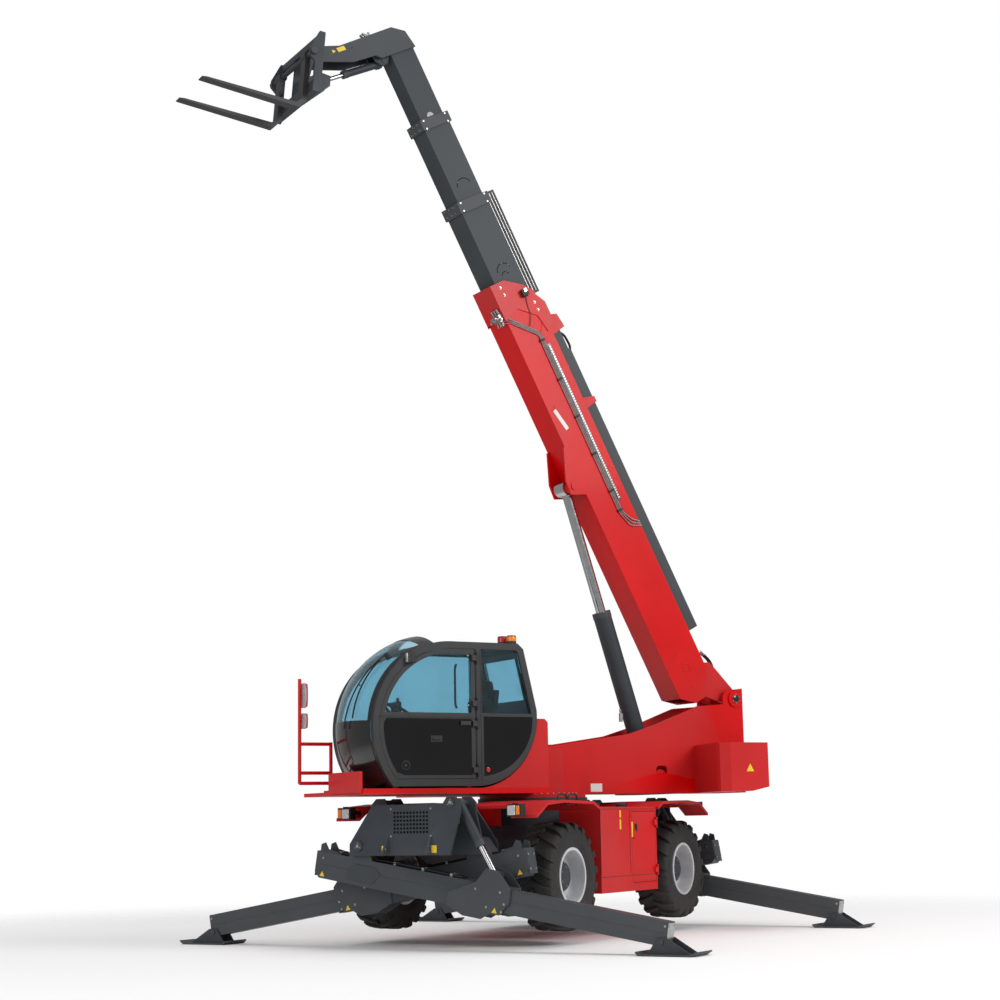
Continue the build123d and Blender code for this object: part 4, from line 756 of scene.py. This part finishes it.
def ram_valve(name, base, side, x):
    """Fittings between the housing and the ram."""
    y = side * 0.44
    with Piece(name + "_valve", STEEL, "carrier", base, bevel=0.004) as valve:
        for dx in (-0.06, 0.06):
            valve.rod((x + dx, y, 1.36), (x + dx, y, 1.44), 0.020)
            valve.rod((x + dx, y, 1.44), (x + dx, side * 0.47, 1.47), 0.012)
        valve.box((x - 0.11, x + 0.11), span(side, 0.34, 0.48), (1.28, 1.37))


def stabiliser(name, base, side, x):
    """Trim of one stabiliser: local axes along the beam, out of the machine's end, up across the beam."""
    along = (0, side * cos(SLOPE), -sin(SLOPE))
    upward = (0, side * sin(SLOPE), cos(SLOPE))
    axes = Matrix((along, X, upward)).transposed().to_4x4()
    where = base @ Matrix.Translation((x, -side * BEAM_PIVOT_Y, BEAM_PIVOT_Z)) @ axes
    beam(name, where)
    leg(name, where)
    ram_valve(name, base, side, x)


stabiliser("front_left", CARRIER, 1, 2.56)
stabiliser("front_right", CARRIER, -1, 2.23)
stabiliser("rear_right", REAR, 1, 2.56)
stabiliser("rear_left", REAR, -1, 2.23)


# ---------- carrier
BOX_FACE = 1.2395  # outer face of the side boxes
FRONT_LENS_X = 2.334
REAR_LENS = (-2.340, -2.328)


def end_housing(label, base):
    with Piece(label + "_housing_bolts", STEEL, "carrier", base) as bolts:
        for y in (-0.195, 0.295):
            for z in (1.165, 1.445):
                bolts.bolt((2.725, y, z), X, 0.010, 0.007)
        for y, z, out in ((-BEAM_PIVOT_Y, BEAM_PIVOT_Z, 2.743), (0.541, 1.500, 2.740)):
            bolts.bolt((out, y, z), X, 0.018, 0.012)
            for turn in (90, 210, 330):
                bolt_y, bolt_z = polar((y, z), 0.034, radians(turn))
                bolts.bolt((out, bolt_y, bolt_z), X, 0.006, 0.005)
    with Piece(label + "_lug_marks", YELLOW, "carrier", base, bevel=0.0005) as marks:
        for y in (-0.275, 0.325):
            marks.box((2.7248, 2.7264), (y - 0.038, y + 0.038), (0.992, 1.068))


def front_lamps():
    with (on_carrier("front_turn_lenses", AMBER, bevel=0.005) as ambers,
          on_carrier("front_lamp_lenses", LENS, bevel=0.006) as lenses,
          on_carrier("front_lamp_frames", PLASTIC, bevel=0.008) as frames):
        for side in (-1, 1):
            y = side * 1.06
            frames.box((2.325, 2.338), (y - 0.080, y + 0.080), (1.350, 1.470))
            frames.rod((2.30, y, 1.475), (2.30, y, 1.487), 0.03)
            inner = sorted((y - side * 0.070, y + side * 0.022))
            outer = sorted((y + side * 0.030, y + side * 0.072))
            lenses.box((FRONT_LENS_X, 2.347), inner, (1.360, 1.460))
            ambers.box((FRONT_LENS_X, 2.346), outer, (1.364, 1.456))


def rear_lamps():
    with (on_carrier("rear_turn_lenses", AMBER, bevel=0.005) as turns,
          on_carrier("rear_lamp_lenses", RED_LENS, bevel=0.005) as reds):
        for side in (-1, 1):
            y = side * 1.0
            reds.box(REAR_LENS, sorted((y - side * 0.115, y + side * 0.020)), (1.415, 1.485))
            turns.box(REAR_LENS, sorted((y + side * 0.030, y + side * 0.115)), (1.415, 1.485))


def mudguard_hoops():
    with on_carrier("mudguard_hoops", PLASTIC) as hoops:
        for a, b in ((1.42, 1.62), (1.18, 1.38)):
            corners = [(a, 1.2, 1.455), (a, 1.2, 1.575), (b, 1.2, 1.575), (b, 1.2, 1.455)]
            hoops.pipe(corners, 0.011, bend=0.08, steps=12)


def side_box(side, name):
    with on_carrier(name + "_box_seams", BLACK) as seams:
        y = span(side, BOX_FACE, 1.2425)
        for x in ((-0.022, -0.016), (0.716, 0.722)):
            seams.box(x, y, (0.70, 1.41))
        for z in ((1.412, 1.417), (0.672, 0.677)):
            seams.box((-0.72, 0.72), y, z)
    with on_carrier(name + "_box_marks", YELLOW) as marks:
        y = span(side, BOX_FACE, 1.2412)
        marks.box((0.20, 0.235), y, (1.19, 1.30))
        marks.box((-0.10, -0.065), y, (1.10, 1.27))
        marks.box((0.20, 0.235), y, (1.32, 1.40))
    with on_carrier(name + "_box_latch", PLASTIC, bevel=0.004) as latch:
        latch.box((-0.21, -0.15), span(side, BOX_FACE, 1.2440), (1.16, 1.25))
        latch.box((-0.195, -0.165), span(side, 1.243, 1.253), (1.175, 1.235))
    with on_carrier(name + "_filler_caps", PLASTIC) as caps:
        for x in (0.35, -0.35):
            knob = [(0, 0), (0, 0.07), (0.03, 0.07), (0.045, 0.055), (0.05, 0)]
            caps.lathe(knob, (x, side * 0.98, 1.439), Z, 28)


for label, base in (("front", CARRIER), ("rear", REAR)):
    end_housing(label, base)
front_lamps()
rear_lamps()
mudguard_hoops()
for side, name in SIDES:
    side_box(side, name)


# ---------- turret
PIN_END = 0.3050  # end of the boom's pivot pin


def weight_mark(side, name):
    with on_turret(name + "_weight_mark", YELLOW) as mark:
        triangle(mark, (-2.278, 1.862), 0.062, span(side, 1.1997, 1.2015))


def blank_plate(side, name):
    with on_turret(name, LABEL, bevel=0.0006) as plate:
        plate.box((-0.795, -0.635), span(side, 0.2748, 0.2764), (1.625, 1.720))


def ring_bolts():
    with on_turret("ring_bolts", STEEL) as bolts:
        for k in range(9):
            x, y = polar((0, 0), 0.585, radians(62 + 7 * k))
            bolts.bolt((x, y, 1.6005), Z, 0.013, 0.012)


def pivot_pin(side, name):
    """Cap and bolts on one end of the boom's pivot pin."""
    with on_turret(name + "_pin_cap", BLACK, slot="dark_paint") as cap:
        disc = [(-0.004, 0.046), (0.004, 0.046), (0.008, 0.040), (0.008, 0)]
        cap.lathe(disc, (PIVOT_X, side * PIN_END, PIVOT_Z), (0, side, 0))
    with on_turret(name + "_pin_bolts", STEEL) as bolts:
        for k in range(6):
            x, z = polar((PIVOT_X, PIVOT_Z), 0.052, radians(30 + 60 * k))
            bolts.bolt((x, side * PIN_END, z), (0, side, 0), 0.0065, 0.006)


def barrel_port():
    with Piece("barrel_port", STEEL, "lift_barrel", TURRET, bevel=0.004) as fitting:
        fitting.box((-1.235, -1.195), (0.070, 0.100), (2.46, 2.56))
        fitting.rod((-1.215, 0.085, 2.56), (-1.205, 0.085, 2.61), 0.013)


for side, name in SIDES:
    weight_mark(side, name)
    blank_plate(side, "side_plate" if side > 0 else "right_side_plate")
ring_bolts()
for side, name in SIDES:
    pivot_pin(side, name)
barrel_port()

# ---------- boom
BASE_WELD, SECOND_WELD, THIRD_WELD = 0.2005, 0.1752, 0.1502  # welds on the sections' sides
PIPE_Y = 0.214


def base_welds(side, name):
    y = side * BASE_WELD
    with Piece(name + "_weld_marks", RED, "boom_base", TURRET) as marks:
        patch = [(-2.045, 3.185), (-2.165, 3.165), (-2.19, 3.09), (-2.085, 3.075), (-2.045, 3.185)]
        marks.pipe([(x, y, z) for x, z in patch], 0.004, bend=0.01)
        marks.pipe(arc((-2.275, 2.852), 0.075, 0, 360, y, 32), 0.004)
        marks.pipe([(-2.009, y, 3.347), (-1.867, y, 3.109)], 0.005)
    with on_boom(name + "_tip_welds", RED) as seam:
        seam.pipe(arc((5.36, -0.50), 0.30, 150, 60, y, 16), 0.004)
        seam.pipe(arc((4.30, -0.66), 0.10, 170, 20, y), 0.004)


def section_welds(side, name):
    with Piece(name + "_second_welds", BLACK, "boom_second", BOOM, slot="dark_paint") as welds:
        welds.pipe(arc((5.975, -0.395), 0.105, -80, 70, side * SECOND_WELD), 0.006)
        welds.pipe(arc((5.925, -0.405), 0.050, -70, 80, side * SECOND_WELD), 0.006)
    with Piece(name + "_third_welds", BLACK, "boom_third", BOOM, slot="dark_paint") as welds:
        welds.pipe(arc((7.10, -0.39), 0.105, -80, 70, side * THIRD_WELD), 0.006)
    with on_head(name + "_fourth_port", BLACK, slot="dark_paint") as port:
        half_round = [(u, w) for u, _, w in arc((8.035, -0.40), 0.048, -90, 90, 0)]
        port.prism(half_round, span(side, 0.1245, 0.1262))


def side_studs(side, name):
    """Adjusting studs of the wear pads on both sides."""
    out = (0, side, 0)
    with on_boom(name + "_pad_studs", STEEL) as studs:
        for u, w in ((5.815, -0.58), (5.716, -0.571), (5.489, -0.211), (5.389, -0.21)):
            studs.rod((u, side * 0.211, w), (u, side * 0.226, w), 0.012)
            studs.bolt((u, side * 0.211, w), out, 0.016, 0.008)
    for body, us, y, ws in (("boom_second", (6.83, 6.93), 0.188, (-0.58, -0.21)),
                            ("boom_third", (7.90, 8.00), 0.163, (-0.555, -0.23))):
        with Piece(name + "_" + body + "_studs", STEEL, body, BOOM) as studs:
            for u in us:
                for w in ws:
                    studs.bolt((u, side * y, w), out, 0.013, 0.010)


def under_studs():
    """Adjusting studs of the wear pads underneath."""
    down = (0, 0, -1)
    with on_boom("under_pad_studs", STEEL) as studs:
        for u in (5.66, 5.78):
            for y in (-0.12, -0.03, 0.06, 0.14):
                studs.rod((u, y - 0.022, -0.697), (u, y + 0.022, -0.697), 0.010)
                studs.bolt((u, y, -0.686), down, 0.014, 0.008)
    for body, us, low in (("boom_second", (6.85, 6.92), -0.623), ("boom_third", (7.92, 7.99), -0.598)):
        with Piece(body + "_pad_studs", STEEL, body, BOOM) as studs:
            for u in us:
                for y in (-0.10, 0.0, 0.10):
                    studs.rod((u, y, low), (u, y, low - 0.030), 0.008)
                    studs.bolt((u, y, low), down, 0.013, 0.008)


def boom_pipes():
    with on_boom("boom_pipes", STEEL) as pipes:
        for k in range(3):
            d = 0.030 * k
            w = -0.318 - 0.75 * d
            route = [(5.47 - d, 0.10, -0.735), (5.465 - d, 0.17, -0.712), (5.44 - d, PIPE_Y, -0.66),
                     (5.14 - 0.6 * d, PIPE_Y, -0.335 - 0.2 * d), (4.97 - 0.3 * d, PIPE_Y, w),
                     (2.72, PIPE_Y, w), (2.58 - d, PIPE_Y, -0.23 - d), (2.52 - d, PIPE_Y, -0.145)]
            pipes.pipe(route, 0.0075, bend=0.05, steps=10)
    with on_boom("pipe_clamps", PLASTIC, bevel=0.003) as clamps:
        for u in (5.02, 4.50, 4.00, 3.50, 3.00, 2.74):
            clamps.box((u, u + 0.028), (0.1995, 0.226), (-0.377, -0.305))
            clamps.bolt((u + 0.014, 0.226, -0.341), Y, 0.006, 0.004)


def guide_chain():
    links = 62
    with on_boom("guide_chain", STEEL, bevel=0.003) as chain:
        for k in range(links):
            u = 4.92 - 2.02 * k / (links - 1)
            chain.box((u - 0.012, u + 0.012), (0.1995, 0.216), (-0.292, -0.262))
    with on_boom("guide_chain_tray", BLACK) as tray:
        tray.box((2.86, 4.96), (0.1990, 0.208), (-0.299, -0.255))


def tip_valve():
    with on_boom("tip_valve", STEEL, bevel=0.005) as valve:
        valve.box((5.44, 5.53), (0.03, 0.18), (-0.755, -0.684))
        for y in (0.05, 0.105, 0.16):
            valve.rod((5.53, y, -0.72), (5.60, y, -0.735), 0.015)
            valve.rod((5.44, y, -0.72), (5.38, y, -0.735), 0.013)
            valve.rod((5.485, y, -0.755), (5.485 + (y - 0.105) * 0.4, y, -0.815), 0.017)
            valve.rod((5.485, y, -0.775), (5.485, y, -0.790), 0.023)
        valve.rod((5.50, -0.02, -0.74), (5.50, 0.03, -0.74), 0.018)
        valve.rod((5.47, 0.18, -0.74), (5.47, 0.205, -0.74), 0.018)


def boom_plate():
    with on_boom("boom_plate", LABEL, bevel=0.0008) as plate:
        plate.prism([(4.211, -0.573), (3.932, -0.513), (3.922, -0.563), (4.201, -0.623)], (0.1995, 0.2020))


def boom_lamp():
    with on_boom("boom_work_lamp", PLASTIC, bevel=0.008) as lamp:
        lamp.box((5.59, 5.68), (0.211, 0.235), (-0.345, -0.265))
        lamp.box((5.60, 5.69), (0.232, 0.262), (-0.352, -0.258))
    with on_boom("boom_lamp_lens", LENS, bevel=0.005) as lamp:
        lamp.box((5.645, 5.693), (0.238, 0.266), (-0.315, -0.270))
    with on_boom("lamp_cable", HOSE) as cable:
        route = [(5.60, 0.222, -0.30), (5.50, 0.216, -0.33), (5.36, 0.216, -0.34), (5.25, 0.215, -0.42)]
        cable.pipe(route, 0.004, bend=0.06)


def boom_hoses():
    with on_boom("hose_loop", HOSE) as loop:
        for y in (0.117, 0.096):
            route = [(5.06, y, -0.02), (4.98, y, 0.06), (4.80, y, 0.075), (4.70, y, -0.02), (4.72, y, -0.10)]
            loop.pipe(route, 0.009, bend=0.08, steps=10)
    with on_boom("tail_block", STEEL, bevel=0.004) as block:
        for y in (-0.10, -0.06, 0.06, 0.10):
            block.rod((0.70, y, -0.142), (0.70, y, -0.05), 0.018)
            block.rod((0.70, y, -0.05), (0.63, y, -0.02), 0.013)
            block.rod((0.84, y, -0.142), (0.84, y, -0.08), 0.015)
        block.box((0.62, 0.90), (-0.14, 0.14), (-0.142, -0.10))
    with on_boom("tail_hoses", HOSE) as hoses:
        for y in (-0.10, -0.06, 0.06, 0.10):
            route = [(0.64, y, -0.02), (0.52, y, 0.03), (0.38, y * 0.9, 0.02), (0.24, y * 0.8, -0.02),
                     (0.15, y * 0.7, -0.05)]
            hoses.pipe(route, 0.012, bend=0.08, steps=10)


def hose_chain():
    """Links and edges of the energy chain on the second section."""
    with Piece("chain_links", PLASTIC, "boom_second", BOOM, bevel=0.002) as links:
        for k in range(30):
            u = 5.64 + 0.043 * k
            for side in (-1, 1):
                links.box((u - 0.016, u + 0.016), span(side, 0.0598, 0.0645), (-0.125, 0.024))
    with Piece("chain_lines", STEEL, "boom_second", BOOM) as lines:
        for w in (-0.10, -0.055, -0.010):
            for side in (-1, 1):
                lines.box((5.62, 6.92), span(side, 0.0640, 0.0665), (w - 0.003, w + 0.003))


for side, name in SIDES:
    base_welds(side, name)
    section_welds(side, name)
    side_studs(side, name)
under_studs()
boom_pipes()
guide_chain()
tip_valve()
boom_plate()
boom_lamp()
boom_hoses()
hose_chain()

# ---------- boom head
HEAD_FACE = 0.150


def head_side(side, name):
    with on_head(name + "_head_marks", YELLOW) as marks:
        y = span(side, HEAD_FACE, HEAD_FACE + 0.0016)
        marks.prism([(9.098, -1.115), (9.150, -1.125), (9.150, -1.235), (9.098, -1.225)], y)
        marks.prism([(9.120, -1.255), (9.150, -1.300), (9.105, -1.305)], y)
    with on_head(name + "_head_weld", BLACK, slot="dark_paint") as weld:
        weld.pipe(arc((8.848, -1.000), 0.252, -10, 50, side * (HEAD_FACE + 0.001)), 0.004)


def head_couplings():
    with on_head("head_couplings", STEEL, bevel=0.003) as plugs:
        plugs.box((9.125, 9.165), (-0.05, 0.05), (-0.74, -0.62))
        for y in (-0.03, 0.03):
            plugs.rod((9.16, y, -0.70), (9.225, y, -0.725), 0.014)
            plugs.rod((9.16, y, -0.66), (9.235, y, -0.655), 0.014)
            plugs.rod((9.215, y, -0.725), (9.245, y, -0.735), 0.018)


for side, name in SIDES:
    head_side(side, name)
head_couplings()


# ---------- floor, light and camera
FLOOR_HALF = 400
FLOOR_Z = -0.002
FLOOR_COLOR = (0.93, 0.93, 0.93, 1)
FADE_START, FADE_END = 6.0, 13.0  # metres from the middle, where the floor melts into the backdrop
PLAIN_LIGHT, MIRRORED_LIGHT = 0.60, 0.32  # strength of the world as the machine sees it
CAMERA_PLACE = (19.418, 10.713, 1.284)
CAMERA_ANGLES = (3.66007561, 0.170610915, -0.0179224592)  # yaw, pitch, roll
CAMERA_LENS = 67.46


def floor():
    mesh = bpy.data.meshes.new("floor")
    corners = [(-1, -1), (1, -1), (1, 1), (-1, 1)]
    mesh.from_pydata([(a * FLOOR_HALF, b * FLOOR_HALF, FLOOR_Z) for a, b in corners], [], [(0, 1, 2, 3)])
    obj = bpy.data.objects.new("floor", mesh)
    SCENE.collection.objects.link(obj)
    surface = Surface("floor")
    put(surface.shader, Base_Color=FLOOR_COLOR, Roughness=0.9, Specular_IOR_Level=0.1)
    away = surface.node("VectorMath")
    away.operation = "LENGTH"
    surface.link(surface.where, away, 0)
    fade = surface.node("MapRange", From_Min=FADE_START, From_Max=FADE_END)
    fade.interpolation_type = "SMOOTHSTEP"
    surface.link(away.outputs["Value"], fade, "Value")
    both = surface.node("MixShader")
    surface.link(fade.outputs["Result"], both, "Fac")
    surface.link(surface.shader.outputs["BSDF"], both, 1)
    surface.link(surface.node("BsdfTransparent").outputs["BSDF"], both, 2)
    surface.link(both.outputs["Shader"], surface.tree.nodes["Material Output"], "Surface")
    mesh.materials.append(surface.material)


def studio():
    """White world that is dimmer for plain light, and dimmer still in mirrored light."""
    world = bpy.data.worlds.new("studio")
    SCENE.world = world
    world.use_nodes = True
    nodes, link = world.node_tree.nodes, world.node_tree.links.new

    def white(strength):
        made = nodes.new("ShaderNodeBackground")
        put(made, Color=(1, 1, 1, 1), Strength=strength)
        return made.outputs["Background"]

    def mixed(share, first, second):
        made = nodes.new("ShaderNodeMixShader")
        link(share, made.inputs["Fac"])
        link(first, made.inputs[1])
        link(second, made.inputs[2])
        return made.outputs["Shader"]

    rays = nodes.new("ShaderNodeLightPath").outputs
    straight = nodes.new("ShaderNodeMath")
    straight.operation = "MAXIMUM"
    link(rays["Is Camera Ray"], straight.inputs[0])
    link(rays["Is Transmission Ray"], straight.inputs[1])
    lit = mixed(rays["Is Glossy Ray"], white(PLAIN_LIGHT), white(MIRRORED_LIGHT))
    seen = mixed(straight.outputs["Value"], lit, white(1.0))
    link(seen, nodes["World Output"].inputs["Surface"])


def area_light(name, place, target, size, power):
    data = bpy.data.lights.new(name, "AREA")
    data.shape = "RECTANGLE"
    data.size, data.size_y = size
    data.energy = power
    obj = bpy.data.objects.new(name, data)
    SCENE.collection.objects.link(obj)
    obj.location = place
    obj.rotation_euler = (Vector(target) - Vector(place)).to_track_quat("-Z", "Y").to_euler()


def photo_camera():
    """Camera at the photograph's place, angle and focal length."""
    camera = bpy.data.objects.new("camera", bpy.data.cameras.new("camera"))
    SCENE.collection.objects.link(camera)
    SCENE.camera = camera
    camera.data.sensor_width = 36.0
    camera.data.lens = CAMERA_LENS
    camera.data.clip_end = 600
    camera.location = Vector(CAMERA_PLACE) + SLEW
    yaw, pitch, roll = CAMERA_ANGLES
    forward = Vector((cos(yaw) * cos(pitch), sin(yaw) * cos(pitch), sin(pitch)))
    level = Vector((sin(yaw), -cos(yaw), 0))
    over = level.cross(forward)
    right = cos(roll) * level + sin(roll) * over
    up = -sin(roll) * level + cos(roll) * over
    camera.rotation_euler = Matrix((right, up, -forward)).transposed().to_euler()


floor()
studio()
area_light("key", (1, 22, 14), (0, 0, 3), (10, 10), 2500)
area_light("fill", (18, -2, 8), (0, 0, 3), (10, 8), 550)
area_light("top", (-2, 0, 22), (0, 0, 2), (12, 12), 1100)
photo_camera()
SCENE.view_settings.view_transform = "Standard"
